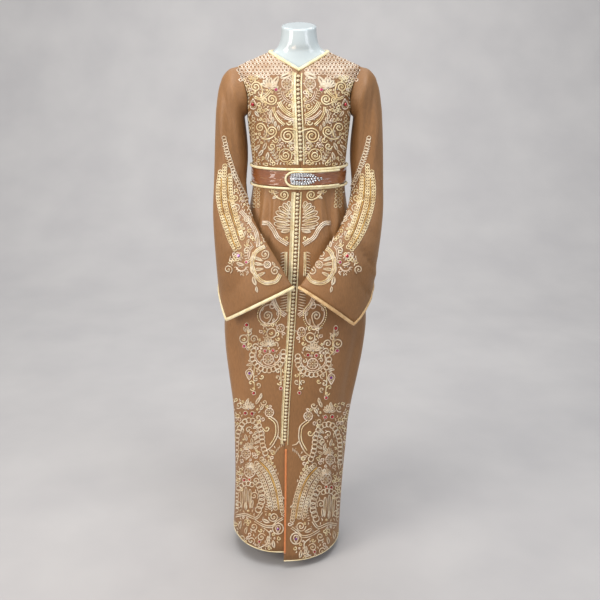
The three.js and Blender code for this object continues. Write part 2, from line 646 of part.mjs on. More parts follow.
function beltCord(rise) {
  const path = Array.from({ length: BELT_STEPS }, (_, k) =>
    onBelt((2 * Math.PI * k) / BELT_STEPS, rise, CORD.belt - 0.2));
  return cordGeometry(path, CORD.belt, 5, true);
}
const CORD_RISE = BELT.height / 2 - CORD.belt + SEAM + 0.3;
addPart("belt_cord_top", beltCord(CORD_RISE), goldBraid);
addPart("belt_cord_bottom", beltCord(-CORD_RISE), goldBraid);

// The belt's free end laps over the front and ends in a half round.
const TAB = { from: -33, to: 104, thick: 2.2, round: 22, cord: 2.8 };
const tabHalf = BELT.height / 2 - 2 * CORD.belt - 4;
function tabReach(aside) {
  const into = Math.min(1, (aside - TAB.from) / TAB.round);
  return tabHalf * Math.sqrt(Math.max(0.02, 1 - (1 - into) ** 2));
}
const tabLift = BELT.thick + SEAM + 0.3;
addPart(
  "belt_tab",
  wallFrom(5, 18, TAB.thick, (row, column, depth) => {
    const share = column / 17;
    const aside = lerp(TAB.from, TAB.to, share ** 1.3);
    return onBelt(frontAngle(aside, BELT.z), (row / 2 - 1) * tabReach(aside), tabLift + TAB.thick - depth);
  }),
  beltSatin,
);

function tabCord() {
  const lift = tabLift + TAB.cord + 2.5;
  const reach = tabHalf + TAB.cord + SEAM;
  const place = (aside, rise) => onBelt(frontAngle(aside, BELT.z), rise, lift);
  const straight = [104, 94, 84, 72, 58, 42, 26, 10, -5];
  const round = Array.from({ length: 9 }, (_, k) => {
    const turn = Math.PI / 2 + (Math.PI * (k + 1)) / 10;
    return place(TAB.from + TAB.round + (TAB.round + TAB.cord + SEAM + 0.6) * Math.cos(turn), reach * Math.sin(turn));
  });
  const high = straight.map((aside) => place(aside, reach));
  const low = straight.map((aside) => place(aside, -reach)).reverse();
  return cordGeometry([...high, ...round, ...low], TAB.cord, 6);
}
addPart("belt_tab_cord", tabCord(), goldBraid);

// A leaf-shaped brooch of set stones, pinned to the belt's end.
const BROOCH = { from: -20, to: 66, high: 17, domes: 9 };
function brooch() {
  const plate = wallFrom(5, 12, 2.4, (row, column, depth) => {
    const share = column / 11;
    const reach = BROOCH.high * Math.sqrt(Math.max(0.03, Math.sin(Math.PI * (0.06 + 0.9 * share ** 1.15))));
    const aside = lerp(BROOCH.from, BROOCH.to, share);
    return onBelt(frontAngle(aside, BELT.z), (row / 2 - 1) * reach + 2, tabLift + TAB.thick + SEAM + 2.4 - depth);
  });
  let whole = solidFrom(plate);
  for (let k = 0; k < BROOCH.domes; k++) {
    const share = (k + 0.7) / (BROOCH.domes + 0.4);
    const rise = (k % 2 ? -1 : 1) * 5.5 * Math.sin(Math.PI * share) + 2;
    const radius = 4 - 1.3 * share;
    const lift = tabLift + TAB.thick + SEAM + 2.4 + radius - 1.5;
    const p = onBelt(frontAngle(lerp(BROOCH.from, BROOCH.to, share), BELT.z), rise, lift);
    const stone = new THREE.IcosahedronGeometry(radius, 0);
    whole = whole.add(solidFrom(stone.translate(p.x, p.y, p.z)));
  }
  return geometryFrom(whole);
}
addPart("brooch", brooch(), crystal);

// ---- Dress form and stand --------------------------------------------------------------------------
// How far the form lies inside the cloth's outer face. It carries the cloth along the shoulder ridge.
const FORM_INSET = [
  { z: STAND.formFoot, inset: 56 },
  { z: 900, inset: 40 },
  { z: 1000, inset: 17 },
  { z: 1100, inset: 13 },
  { z: 1243, inset: 20 },
  { z: 1300, inset: 15 },
  { z: 1405, inset: 9 },
  { z: 1500, inset: 7 },
  { z: 1534, inset: 6 },
  { z: 1552, inset: 2.1 },
  { z: 1578, inset: 2.1 },
  { z: 1588, inset: 2.6 },
  { z: 1600, inset: 1.2 },
  { z: 1612, inset: 0 },
  { z: 1655, inset: 0 },
];
const RIDGE_RELIEF = 3.2; // extra inset away from the shoulder ridge
const FORM_RINGS = [
  STAND.formFoot, 880, 940, 1010, 1085, 1160, 1215, 1243, 1275, 1320, 1375, 1425, 1460, 1490, 1512, 1528, SHOULDER_Z,
  1549, 1557, 1566, 1578, 1588, 1598, 1612, 1630, 1650,
];
const NECK_TILT = 0.17; // the neck's flat top leans forward

function form() {
  const columns = 24;
  const rings = FORM_RINGS.map((z) =>
    Array.from({ length: columns }, (_, k) => {
      const angle = (2 * Math.PI * k) / columns;
      const covered = z < 1596 ? 1 : 0;
      const inset = readTable(FORM_INSET, "z", z).inset + covered * RIDGE_RELIEF * Math.abs(Math.sin(angle));
      const p = onBody(angle, z, -Math.max(0, inset), false);
      const s = readTable(SECTIONS, "z", z);
      p.x -= s.aside;
      if (z === STAND.formFoot) p.z = z;
      if (z > 1620) p.z += NECK_TILT * p.y * smooth((z - 1620) / 30);
      return p;
    }));
  const points = rings.flat();
  const faces = [];
  for (let i = 0; i < rings.length - 1; i++)
    for (let k = 0; k < columns; k++) {
      const [a, b] = [i * columns + k, i * columns + ((k + 1) % columns)];
      faces.push([a, b, b + columns], [a, b + columns, a + columns]);
    }
  const cap = (ring, flip) => {
    const centre = points.length;
    points.push(rings[ring].reduce((sum, p) => sum.add(p), new THREE.Vector3()).divideScalar(columns));
    for (let k = 0; k < columns; k++) {
      const [a, b] = [ring * columns + k, ring * columns + ((k + 1) % columns)];
      faces.push(flip ? [centre, b, a] : [centre, a, b]);
    }
  };
  cap(0, true);
  cap(rings.length - 1, false);
  return meshGeometry(points, faces);
}
addPart("dress_form", form(), whiteGloss);

const upright = (geometry, z) => geometry.rotateX(Math.PI / 2).translate(0, 0, z);
const poleLength = STAND.formFoot - STAND.plate - 2 * SEAM;
addPart(
  "stand_pole",
  upright(new THREE.CylinderGeometry(STAND.pole, STAND.pole, poleLength, 20), STAND.plate + SEAM + poleLength / 2),
  steel,
);
addPart(
  "stand_base",
  upright(new THREE.CylinderGeometry(STAND.base - 3, STAND.base, STAND.plate, 40), STAND.plate / 2),
  steel,
);

export default kaftan;
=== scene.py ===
import json
import math

import bpy
from mathutils import Matrix, Vector
from mathutils.bvhtree import BVHTree

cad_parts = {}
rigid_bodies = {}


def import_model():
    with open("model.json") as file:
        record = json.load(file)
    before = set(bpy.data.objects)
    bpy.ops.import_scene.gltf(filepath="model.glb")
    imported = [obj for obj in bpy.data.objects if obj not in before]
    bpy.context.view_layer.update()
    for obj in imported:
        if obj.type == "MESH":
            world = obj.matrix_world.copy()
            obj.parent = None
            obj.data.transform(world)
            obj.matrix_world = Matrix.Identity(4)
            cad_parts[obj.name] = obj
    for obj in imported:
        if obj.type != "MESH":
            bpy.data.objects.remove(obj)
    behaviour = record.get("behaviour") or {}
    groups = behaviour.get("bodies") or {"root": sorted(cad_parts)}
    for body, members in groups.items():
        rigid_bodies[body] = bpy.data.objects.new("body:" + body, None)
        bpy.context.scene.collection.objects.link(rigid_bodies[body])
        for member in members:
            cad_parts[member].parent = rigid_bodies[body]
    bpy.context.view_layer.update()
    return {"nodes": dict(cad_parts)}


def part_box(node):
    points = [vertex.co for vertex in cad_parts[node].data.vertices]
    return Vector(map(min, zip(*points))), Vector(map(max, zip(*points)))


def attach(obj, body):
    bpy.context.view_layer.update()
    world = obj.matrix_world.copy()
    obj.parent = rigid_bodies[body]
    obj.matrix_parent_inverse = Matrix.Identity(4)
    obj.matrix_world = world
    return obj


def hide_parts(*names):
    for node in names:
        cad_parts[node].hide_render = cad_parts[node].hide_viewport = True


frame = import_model()
bpy.ops.object.select_all(action="DESELECT")
scene = bpy.context.scene

# ---- Viewpoint, floor and light ----
# A plain pale floor that sweeps up into a wall, lit by large soft lamps on each side, above and low in front.
# The lamps are broad, so that the satin and the metal thread get long soft highlights.
VIEW_FROM = Vector((0.003, -2.6, 1.75))
VIEW_DOWN = math.radians(19.2)
VIEW_FOCUS = 898.0
VIEW_HALF = 300.0

camera_data = bpy.data.cameras.new("viewpoint")
camera_data.sensor_width = 36.0
camera_data.lens = 36.0 * VIEW_FOCUS / (2 * VIEW_HALF)
camera = bpy.data.objects.new("viewpoint", camera_data)
camera.location = VIEW_FROM
camera.rotation_euler = (math.radians(90) - VIEW_DOWN, 0, 0)
scene.collection.objects.link(camera)
scene.camera = camera


def linear(code):
    channels = [int(code[i : i + 2], 16) / 255 for i in (1, 3, 5)]
    return tuple(c / 12.92 if c <= 0.04045 else ((c + 0.055) / 1.055) ** 2.4 for c in channels) + (1.0,)


def new_material(name):
    material = bpy.data.materials.new(name)
    material.use_nodes = True
    tree = material.node_tree
    tree.nodes.clear()
    shader = tree.nodes.new("ShaderNodeBsdfPrincipled")
    output = tree.nodes.new("ShaderNodeOutputMaterial")
    tree.links.new(shader.outputs["BSDF"], output.inputs["Surface"])
    return material, tree, shader


def add_node(tree, kind, settings=None, inputs=None):
    """Adds one node. Inputs are given by name or number, as a value or as another node's output."""
    node = tree.nodes.new(kind)
    for key, value in (settings or {}).items():
        setattr(node, key, value)
    for key, value in (inputs or {}).items():
        if isinstance(value, bpy.types.NodeSocket):
            tree.links.new(value, node.inputs[key])
        else:
            node.inputs[key].default_value = value
    return node


def colour_ramp(tree, factor, stops):
    ramp = add_node(tree, "ShaderNodeValToRGB", inputs={"Fac": factor})
    while len(ramp.color_ramp.elements) < len(stops):
        ramp.color_ramp.elements.new(0.5)
    for element, (place, code) in zip(ramp.color_ramp.elements, stops):
        element.position = place
        element.color = linear(code)
    return ramp.outputs["Color"]


def set_bump(tree, shader, height, strength, distance):
    bump = add_node(tree, "ShaderNodeBump", inputs={"Height": height, "Strength": strength, "Distance": distance})
    tree.links.new(bump.outputs["Normal"], shader.inputs["Normal"])


def paint(tree, shader, factor, stops):
    tree.links.new(colour_ramp(tree, factor, stops), shader.inputs["Base Color"])


def set_surface(shader, values):
    for name, value in values.items():
        shader.inputs[name].default_value = value


def noise(tree, place, scale, detail, stretch=None, turn=(0.0, 0.0, 0.0), roughness=0.5):
    """Cloudy noise over the piece. A stretch draws it out into streaks."""
    vector = place.outputs["Object"]
    if stretch:
        vector = add_node(tree, "ShaderNodeMapping", inputs={
            "Vector": vector, "Rotation": turn, "Scale": stretch}).outputs["Vector"]
    return add_node(tree, "ShaderNodeTexNoise", inputs={
        "Vector": vector, "Scale": scale, "Detail": detail, "Roughness": roughness})


# Matt painted board: almost even, with a faint cloudiness.
board, tree, shader = new_material("matt_painted_board")
place = add_node(tree, "ShaderNodeTexCoord")
cloud = noise(tree, place, 3.0, 3.0)
paint(tree, shader, cloud.outputs["Fac"], [(0.3, "#ADABAB"), (0.7, "#B5B3B2")])
shader.inputs["Roughness"].default_value = 0.75

bpy.ops.mesh.primitive_plane_add(size=1, location=(0, 0, -0.0005))
sweep = bpy.context.active_object
sweep.name = "studio_sweep"
sweep.scale = (14, 7.2, 1)
sweep.location = (0, -1.4, -0.0005)
bpy.ops.object.transform_apply(location=True, scale=True)
bpy.ops.object.mode_set(mode="EDIT")
bpy.ops.mesh.select_mode(type="EDGE")
bpy.ops.mesh.select_all(action="DESELECT")
bpy.ops.object.mode_set(mode="OBJECT")
for edge in sweep.data.edges:
    edge.select = all(sweep.data.vertices[v].co.y > 1 for v in edge.vertices)
bpy.ops.object.mode_set(mode="EDIT")
COVE = 2.4
for k in range(12):
    start, end = math.radians(7 * k), math.radians(7 * k + 7)
    step = (0, COVE * (math.sin(end) - math.sin(start)), COVE * (math.cos(start) - math.cos(end)))
    bpy.ops.mesh.extrude_region_move(TRANSFORM_OT_translate={"value": step})
bpy.ops.mesh.extrude_region_move(TRANSFORM_OT_translate={"value": (0, 0.3, 3.0)})
bpy.ops.object.mode_set(mode="OBJECT")
sweep.data.polygons.foreach_set("use_smooth", [True] * len(sweep.data.polygons))
sweep.data.materials.append(board)


def softbox(name, at, target, size, watts, code="#FFFFFF"):
    data = bpy.data.lights.new(name, "AREA")
    data.shape = "RECTANGLE"
    data.size, data.size_y = size
    data.energy = watts
    data.color = linear(code)[:3]
    lamp = bpy.data.objects.new(name, data)
    lamp.location = at
    lamp.rotation_euler = (Vector(target) - Vector(at)).to_track_quat("-Z", "Y").to_euler()
    scene.collection.objects.link(lamp)


softbox("softbox_left", (-2.7, -2.0, 2.2), (0, 0, 0.85), (1.3, 2.0), 76, "#FFF8F0")
softbox("softbox_right", (2.5, -2.1, 2.0), (0, 0, 0.8), (1.2, 2.0), 25, "#F7F8FF")
softbox("softbox_top", (0, -0.9, 3.4), (0, -0.1, 1.0), (1.8, 1.2), 50)
softbox("softbox_low", (-1.1, -2.3, 0.5), (0, 0, 0.3), (1.0, 0.5), 10, "#FFDDC0")
softbox("softbox_wall", (0, 1.6, 3.6), (0, 3.6, 0.8), (4.0, 0.8), 95)
world = bpy.data.worlds.new("studio_air")
world.use_nodes = True
world.node_tree.nodes["Background"].inputs["Color"].default_value = linear("#EEF0F4")
world.node_tree.nodes["Background"].inputs["Strength"].default_value = 0.55
scene.world = world
scene.view_settings.view_transform = "Standard"

# ---- Dress form and stand ----
# A hollow moulded form of glass-reinforced resin, sprayed with white gloss lacquer, with a
# flat cut neck. It stands on a brushed steel pole screwed into a round steel plate.


def copy_of(node, name):
    """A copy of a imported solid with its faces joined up, ready to be worked on."""
    source = frame["nodes"][node]
    mesh = source.data.copy()
    mesh.materials.clear()
    piece = bpy.data.objects.new(name, mesh)
    scene.collection.objects.link(piece)
    bpy.ops.object.select_all(action="DESELECT")
    bpy.context.view_layer.objects.active = piece
    piece.select_set(True)
    bpy.ops.object.mode_set(mode="EDIT")
    bpy.ops.mesh.select_all(action="SELECT")
    bpy.ops.mesh.remove_doubles(threshold=0.00002)
    bpy.ops.mesh.tris_convert_to_quads(face_threshold=math.radians(60), shape_threshold=math.radians(60))
    bpy.ops.object.mode_set(mode="OBJECT")
    return piece


def finish_piece(piece, material, slot, *nodes, smooth=True):
    piece.data.materials.clear()
    piece.data.materials.append(material)
    if smooth:
        piece.data.polygons.foreach_set("use_smooth", [True] * len(piece.data.polygons))
    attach(piece, "root")
    if nodes:
        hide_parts(*nodes)
    return piece


def subdivide_smoothly(piece, levels):
    smooth = piece.modifiers.new("rounding", "SUBSURF")
    smooth.levels = smooth.render_levels = levels
    bpy.context.view_layer.objects.active = piece
    bpy.ops.object.modifier_apply(modifier=smooth.name)


# Sprayed gloss lacquer over resin: bright even white, clear reflections and a very faint orange peel.
lacquer, tree, shader = new_material("white_gloss_lacquer")
place = add_node(tree, "ShaderNodeTexCoord")
peel = noise(tree, place, 260.0, 2.0)
tone = noise(tree, place, 7.0, 2.0)
paint(tree, shader, tone.outputs["Fac"], [(0.35, "#B4BEC0"), (0.65, "#BCC6C8")])
set_surface(shader, {"Roughness": 0.2, "Coat Weight": 0.6, "Coat Roughness": 0.06})
set_bump(tree, shader, peel.outputs["Fac"], 0.12, 0.0006)

dress_form = copy_of("dress_form", "gloss_form")
crease = dress_form.data.attributes.new("crease_edge", "FLOAT", "EDGE")
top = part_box("dress_form")[1].z
FOOT, RIM_DROP, CORE = 0.839, 0.022, 0.03
for edge in dress_form.data.edges:
    ends = [dress_form.data.vertices[v].co for v in edge.vertices]
    outside = all(math.hypot(end.x, end.y) > CORE for end in ends)
    flat_top = outside and all(end.z > top - RIM_DROP for end in ends)
    flat_foot = outside and all(end.z < FOOT for end in ends)
    crease.data[edge.index].value = 0.9 if flat_top or flat_foot else 0.0
subdivide_smoothly(dress_form, 2)
finish_piece(dress_form, lacquer, "white_gloss", "dress_form")

# Brushed stainless steel: fine lines round the pole and the plate, drawn 1 mm apart so that they show.
brushed, tree, shader = new_material("brushed_stainless_steel")
place = add_node(tree, "ShaderNodeTexCoord")
lines = noise(tree, place, 1.0, 3.0, (12.0, 12.0, 900.0))
paint(tree, shader, lines.outputs["Fac"], [(0.3, "#A9ADB0"), (0.7, "#C4C8CB")])
set_surface(shader, {"Metallic": 1.0, "Roughness": 0.32})
set_bump(tree, shader, lines.outputs["Fac"], 0.15, 0.0004)


def turned_steel(name, node, bevel):
    piece = copy_of(node, name)
    edge_round = piece.modifiers.new("turned edge", "BEVEL")
    edge_round.width = bevel
    edge_round.segments = 2
    edge_round.limit_method = "ANGLE"
    edge_round.angle_limit = math.radians(50)
    bpy.ops.object.modifier_apply(modifier=edge_round.name)
    bpy.ops.object.shade_smooth_by_angle(angle=math.radians(40))
    finish_piece(piece, brushed, "steel", node, smooth=False)


turned_steel("steel_pole", "stand_pole", 0.0006)
turned_steel("steel_base", "stand_base", 0.0016)

# ---- Kaftan cloth ----
# Two fronts, a back and two wide sleeves of caramel satin-backed crepe, sewn at the sides,
# shoulders and armholes. Each is a shell 1.6 mm thick with the hang's soft folds pressed in.
CLOTH_THICK = 0.0016
RIM_WIDTH = 1.35 * CLOTH_THICK

# Satin-backed crepe: a dense pebbled weave. Real threads lie 0.2 mm apart; here they are drawn
# 0.9 mm apart so that the grain shows. The face is soft, with a broad silky sheen.
def crepe_material(name, light, middle, dark):
    material, tree, shader = new_material(name)
    place = add_node(tree, "ShaderNodeTexCoord")
    pebble = add_node(tree, "ShaderNodeTexVoronoi", inputs={"Vector": place.outputs["Object"], "Scale": 1100.0})
    streak = noise(tree, place, 1.0, 4.0, (520.0, 520.0, 70.0), roughness=0.6)
    patch = noise(tree, place, 5.0, 4.0)
    mixed = add_node(tree, "ShaderNodeMix", {"data_type": "FLOAT"}, {
        0: 0.45, 2: streak.outputs["Fac"], 3: patch.outputs["Fac"]})
    tone = colour_ramp(tree, mixed.outputs[0], [(0.32, dark), (0.5, middle), (0.68, light)])
    tree.links.new(tone, shader.inputs["Base Color"])
    rough = add_node(tree, "ShaderNodeMapRange", inputs={"Value": streak.outputs["Fac"], 3: 0.42, 4: 0.6})
    tree.links.new(rough.outputs["Result"], shader.inputs["Roughness"])
    set_surface(shader, {"Sheen Weight": 0.25, "Sheen Roughness": 0.35, "Sheen Tint": linear("#E3BE90"),
        "Anisotropic": 0.3})
    set_bump(tree, shader, pebble.outputs["Distance"], 0.28, 0.0006)
    return material


crepe = crepe_material("satin_backed_crepe", "#976C43", "#855E37", "#73502C")


def choose_faces(piece, chosen):
    """Leaves the piece in edit mode with only these faces selected."""
    bpy.ops.object.select_all(action="DESELECT")
    bpy.context.view_layer.objects.active = piece
    piece.select_set(True)
    bpy.ops.object.mode_set(mode="EDIT")
    bpy.ops.mesh.select_mode(type="FACE")
    bpy.ops.mesh.select_all(action="DESELECT")
    bpy.ops.object.mode_set(mode="OBJECT")
    for face in chosen(piece.data.polygons):
        face.select = True
    bpy.ops.object.mode_set(mode="EDIT")


def outer_face(piece, facing, height):
    """Keeps only the outer face of a packed wall. Its rim faces, one wall thickness wide, part it from the inner."""
    def rim_faces(faces):
        points = piece.data.vertices
        return [f for f in faces
                if min((points[a].co - points[b].co).length for a, b in f.edge_keys) < RIM_WIDTH]

    def outer_seed(faces):
        turned_out = [face for face in faces if face.normal.dot(facing) > 0.6]
        return [max(turned_out, key=lambda face: face.center.dot(facing) - abs(face.center.z - height))]

    choose_faces(piece, rim_faces)
    bpy.ops.mesh.delete(type="FACE")
    bpy.ops.object.mode_set(mode="OBJECT")
    choose_faces(piece, outer_seed)
    bpy.ops.mesh.select_linked()
    bpy.ops.mesh.select_all(action="INVERT")
    bpy.ops.mesh.delete(type="FACE")
    bpy.ops.mesh.select_all(action="SELECT")
    bpy.ops.mesh.delete_loose()
    bpy.ops.object.mode_set(mode="OBJECT")


def open_edges(piece):
    """The piece's cut edges, as the open neighbours of each vertex on them."""
    uses = {}
    for face in piece.data.polygons:
        for key in face.edge_keys:
            uses[key] = uses.get(key, 0) + 1
    beside = {}
    for (a, b), count in uses.items():
        if count == 1:
            beside.setdefault(a, []).append(b)
            beside.setdefault(b, []).append(a)
    return beside


def keep_corners(piece):
    """Creases the corners of the cut edges, so that the rounding keeps a sleeve's points and the panels' corners."""
    beside = open_edges(piece)
    crease = piece.data.attributes.new("crease_vert", "FLOAT", "POINT")
    for vertex, near in beside.items():
        at = piece.data.vertices[vertex].co
        ends = [(piece.data.vertices[other].co - at).normalized() for other in near[:2]]
        if len(ends) == 2 and ends[0].dot(ends[1]) > -0.82:
            crease.data[vertex].value = 1.0


def press_folds(piece, folds, front):
    """Presses soft troughs and ridges into the cloth along lines in the front or back elevation."""
    normals = [vertex.normal.copy() for vertex in piece.data.vertices]
    for vertex, normal in zip(piece.data.vertices, normals):
        if (normal.y > 0.15) == front:
            continue
        push = 0.0
        for x0, z0, x1, z1, width, depth in folds:
            along_x, along_z = x1 - x0, z1 - z0
            length2 = along_x * along_x + along_z * along_z
            px, pz = vertex.co.x * 1000 - x0, vertex.co.z * 1000 - z0
            share = min(1.0, max(0.0, (px * along_x + pz * along_z) / length2))
            away = math.hypot(px - share * along_x, pz - share * along_z) / width
            if away < 3:
                push += depth * math.exp(-away * away) * math.sin(math.pi * (0.06 + 0.88 * share)) ** 0.6
        vertex.co += normal * push / 1000


# Each row is one fold: from x, z to x, z in millimetres, its half width and its height (minus for a trough).
FRONT_FOLDS = [
    (74, 1198, 92, 1110, 4, -7), (-44, 1197, -50, 1130, 4, -4), (40, 1197, 44, 1130, 4, -4),
    (-112, 1196, -122, 1085, 6, -7), (-96, 1200, -108, 1080, 5, 4.2), (-82, 1196, -90, 1040, 6, -5.6),
    (88, 1196, 98, 1040, 6, -5.6), (102, 1200, 112, 1090, 5, 4.2), (114, 1196, 124, 1120, 6, -7),
    (-68, 1196, -72, 1105, 5, 3.5), (60, 1196, 66, 1100, 5, 3.5),
    (-150, 1475, -112, 1415, 9, -4.2), (150, 1475, 112, 1415, 9, -4.2),
    (-196, 790, -168, 560, 16, -7), (186, 800, 140, 520, 16, -7), (-214, 700, -186, 430, 13, 4.2),
    (186, 700, 152, 470, 12, 4.2), (-150, 620, -134, 90, 18, -5.6), (74, 600, 62, 80, 18, -5.6),
    (-190, 420, -196, 60, 14, -5.6), (112, 430, 104, 70, 14, -5.6), (-106, 380, -98, 60, 14, 3.5),
    (24, 420, 10, 60, 14, 3.5),
]
BACK_FOLDS = [
    (-96, 1196, -110, 1060, 7, -7), (-60, 1196, -66, 1020, 7, -5.6), (-20, 1198, -24, 990, 8, -5.6),
    (22, 1198, 20, 1000, 8, -5.6), (62, 1196, 70, 1020, 7, -5.6), (98, 1196, 112, 1070, 7, -7),
    (-150, 900, -158, 300, 16, -8.4), (-80, 900, -96, 60, 18, -7), (-8, 940, -38, 60, 20, -8.4),
    (66, 900, 28, 60, 18, -7), (140, 900, 98, 200, 16, -8.4), (-130, 1470, -90, 1330, 12, -4.2),
    (130, 1470, 90, 1330, 12, -4.2), (0, 1440, 0, 1300, 14, -3.5),
]
# On the sleeves the cloth drags from the elbow towards the hanging outer edge.
DRAGS = [
    (215, 1495, 196, 1340, 9, -7), (197, 1480, 176, 1280, 9, -5.6), (228, 1420, 206, 1240, 8, 4.2),
    (188, 1128, 228, 1066, 6.5, -8), (172, 1062, 222, 982, 7.5, -10.5), (180, 1022, 226, 944, 8, 6),
    (164, 975, 212, 896, 7.5, -8.5), (168, 1240, 150, 1170, 6, -6.5),
]
SLEEVE_FOLDS = [(side * x0, z0, side * x1, z1, *size) for side in (-1, 1) for x0, z0, x1, z1, *size in DRAGS]
SLEEVE_FOLDS += [(-110, 900, -176, 838, 9, -6), (110, 890, 172, 826, 9, -6)]


def cloth_shell(node, name, facing, height, folds, back_folds=()):
    piece = copy_of(node, name)
    outer_face(piece, Vector(facing), height)
    keep_corners(piece)
    subdivide_smoothly(piece, 2)
    press_folds(piece, folds, True)
    press_folds(piece, back_folds, False)
    return piece


def thicken(piece):
    wall = piece.modifiers.new("cloth thickness", "SOLIDIFY")
    wall.thickness = CLOTH_THICK
    wall.offset = -1
    bpy.context.view_layer.objects.active = piece
    bpy.ops.object.modifier_apply(modifier=wall.name)


front_right = cloth_shell("front_right", "kaftan_front_right", (0, -1, 0), 1.3, FRONT_FOLDS)
front_left = cloth_shell("front_left", "kaftan_front_left", (0, -1, 0), 1.3, FRONT_FOLDS)
back = cloth_shell("back", "kaftan_back", (0, 1, 0), 1.3, (), BACK_FOLDS)
sleeve_right = cloth_shell("sleeve_right", "kaftan_sleeve_right", (-1, 0, 0), 1.2, SLEEVE_FOLDS, SLEEVE_FOLDS)
sleeve_left = cloth_shell("sleeve_left", "kaftan_sleeve_left", (1, 0, 0), 1.2, SLEEVE_FOLDS, SLEEVE_FOLDS)
CLOTH = {"front_right": front_right, "front_left": front_left, "back": back,
         "sleeve_right": sleeve_right, "sleeve_left": sleeve_left}
cloth_tree = {node: BVHTree.FromObject(piece, bpy.context.evaluated_depsgraph_get()) for node, piece in CLOTH.items()}


def cut_edge(piece, belongs):
    """One cut edge of a cloth piece, as rows of (point, up, out): out points off the cloth, square to the edge."""
    beside = open_edges(piece)
    points = piece.data.vertices
    chosen = {v for v in beside if belongs(points[v].co)}
    inside = {}
    for face in piece.data.polygons:
        for v in face.vertices:
            if v in chosen:
                inside.setdefault(v, []).append(face.center.copy())
    ends = sorted((v for v in chosen if sum(n in chosen for n in beside[v]) == 1), key=lambda v: -points[v].co.z)
    walk = [ends[0] if ends else min(chosen, key=lambda v: points[v].co.z)]
    while True:
        onward = [n for n in beside[walk[-1]] if n in chosen and n not in walk]
        if not onward:
            break
        walk.append(onward[0])
    closed = not ends
    rows = []
    for i, v in enumerate(walk):
        before = points[walk[i - 1]].co if closed or i else points[v].co
        after = points[walk[(i + 1) % len(walk)]].co if closed or i < len(walk) - 1 else points[v].co
        up = points[v].normal.copy()
        out = (after - before).normalized().cross(up).normalized()
        inward = sum(inside[v], Vector()) / len(inside[v]) - points[v].co
        rows.append((points[v].co.copy(), up, -out if out.dot(inward) > 0 else out))
    return rows


button_edge = cut_edge(front_left, lambda p: p.y < -0.05 and 0.034 < p.z < 1.531 and abs(p.x + 0.035) < 0.06)
cuff_edges = {side: cut_edge(CLOTH["sleeve_" + side], lambda p: p.z < 1.02) for side in ("right", "left")}
NECK_HALF, V_FOOT, V_SLOPE = 0.0875, 1.5295, 0.53


def on_v(p):
    return abs(p.x) < NECK_HALF and p.z > max(V_FOOT, 1.5 + abs(p.x) * V_SLOPE)


neck_edges = {side: cut_edge(CLOTH["front_" + side], on_v) for side in ("right", "left")}
neck_edges["back"] = cut_edge(back, lambda p: abs(p.x) < NECK_HALF and p.z > 1.56)
hem_edges = {
    "right": cut_edge(front_right, lambda p: p.z < 0.0625),
    "left": cut_edge(front_left, lambda p: p.z < 0.0325),
    "back": cut_edge(back, lambda p: p.z < (0.068 if p.y > 0.001 else 0.0325 if p.x > 0 else 0.0625)),
}
for piece in CLOTH.values():
    thicken(piece)
for node, piece in CLOTH.items():
    finish_piece(piece, crepe, "crepe", node)

# ---- Braids round the neck, the cuffs and the hem ----
# Round pale gold braids of silk and metal thread, sewn along the cut edges: 10 mm at the cuffs
# and the neck, 4 mm at the hem. Each is a cord swept along the edge of the cloth.
CUFF_BRAID, NECK_BRAID, HEM_CORD = 0.0100, 0.0096, 0.0040


def new_store():
    return {"points": [], "faces": [], "turns": []}


def sweep_rope(store, rows, width, height=None, sides=6, closed=False, taper=False, sunk=0.0):
    """Adds a rope of oval section along rows of (point, up), with its length and its turn kept for the pattern."""
    height = width if height is None else height
    count, first, run = len(rows), len(store["points"]), 0.0
    runs = []
    for i, (point, up) in enumerate(rows):
        before = rows[i - 1][0] if closed or i else point
        after = rows[(i + 1) % count][0] if closed or i < count - 1 else point
        along = (after - before).normalized()
        side = along.cross(up).normalized()
        upright = side.cross(along)
        run += (point - rows[i - 1][0]).length if i else 0.0
        runs.append(run)
        size = math.sin(math.pi * (0.05 + 0.9 * i / (count - 1))) ** 0.6 if taper else 1.0
        centre = point + upright * height * (0.5 - sunk) * size
        for k in range(sides):
            turn = 2 * math.pi * (k + 0.5) / sides
            store["points"].append(centre + side * (0.5 * width * size * math.cos(turn))
                                   + upright * (0.5 * height * size * math.sin(turn)))
    if closed:
        runs.append(run + (rows[0][0] - rows[-1][0]).length)
    for i in range(count if closed else count - 1):
        here, onward = first + i * sides, first + ((i + 1) % count) * sides
        for k in range(sides):
            beside = (k + 1) % sides
            store["faces"].append((here + k, onward + k, onward + beside, here + beside))
            low, high = k / sides, (k + 1) / sides
            store["turns"] += [(runs[i], low), (runs[i + 1], low), (runs[i + 1], high), (runs[i], high)]
    if not closed:
        last = first + (count - 1) * sides
        store["faces"].append(tuple(range(first, first + sides)))
        store["faces"].append(tuple(range(last + sides - 1, last - 1, -1)))
        store["turns"] += [(0.0, 0.5)] * sides + [(run, 0.5)] * sides


def piece_from(store, name, material, slot, *nodes, smooth=True):
    mesh = bpy.data.meshes.new(name)
    mesh.from_pydata(store["points"], [], store["faces"])
    layer = mesh.uv_layers.new(name="length_and_turn")
    layer.data.foreach_set("uv", [value for pair in store["turns"] for value in pair])
    piece = bpy.data.objects.new(name, mesh)
    scene.collection.objects.link(piece)
    return finish_piece(piece, material, slot, *nodes, smooth=smooth)


def smoothed(rows, times=1):
    for _ in range(times):
        rows = [rows[0]] + [
            (rows[i - 1][0] * 0.25 + rows[i][0] * 0.5 + rows[i + 1][0] * 0.25,
             (rows[i - 1][1] + rows[i][1] * 2 + rows[i + 1][1]).normalized())
            for i in range(1, len(rows) - 1)] + [rows[-1]]
    return rows


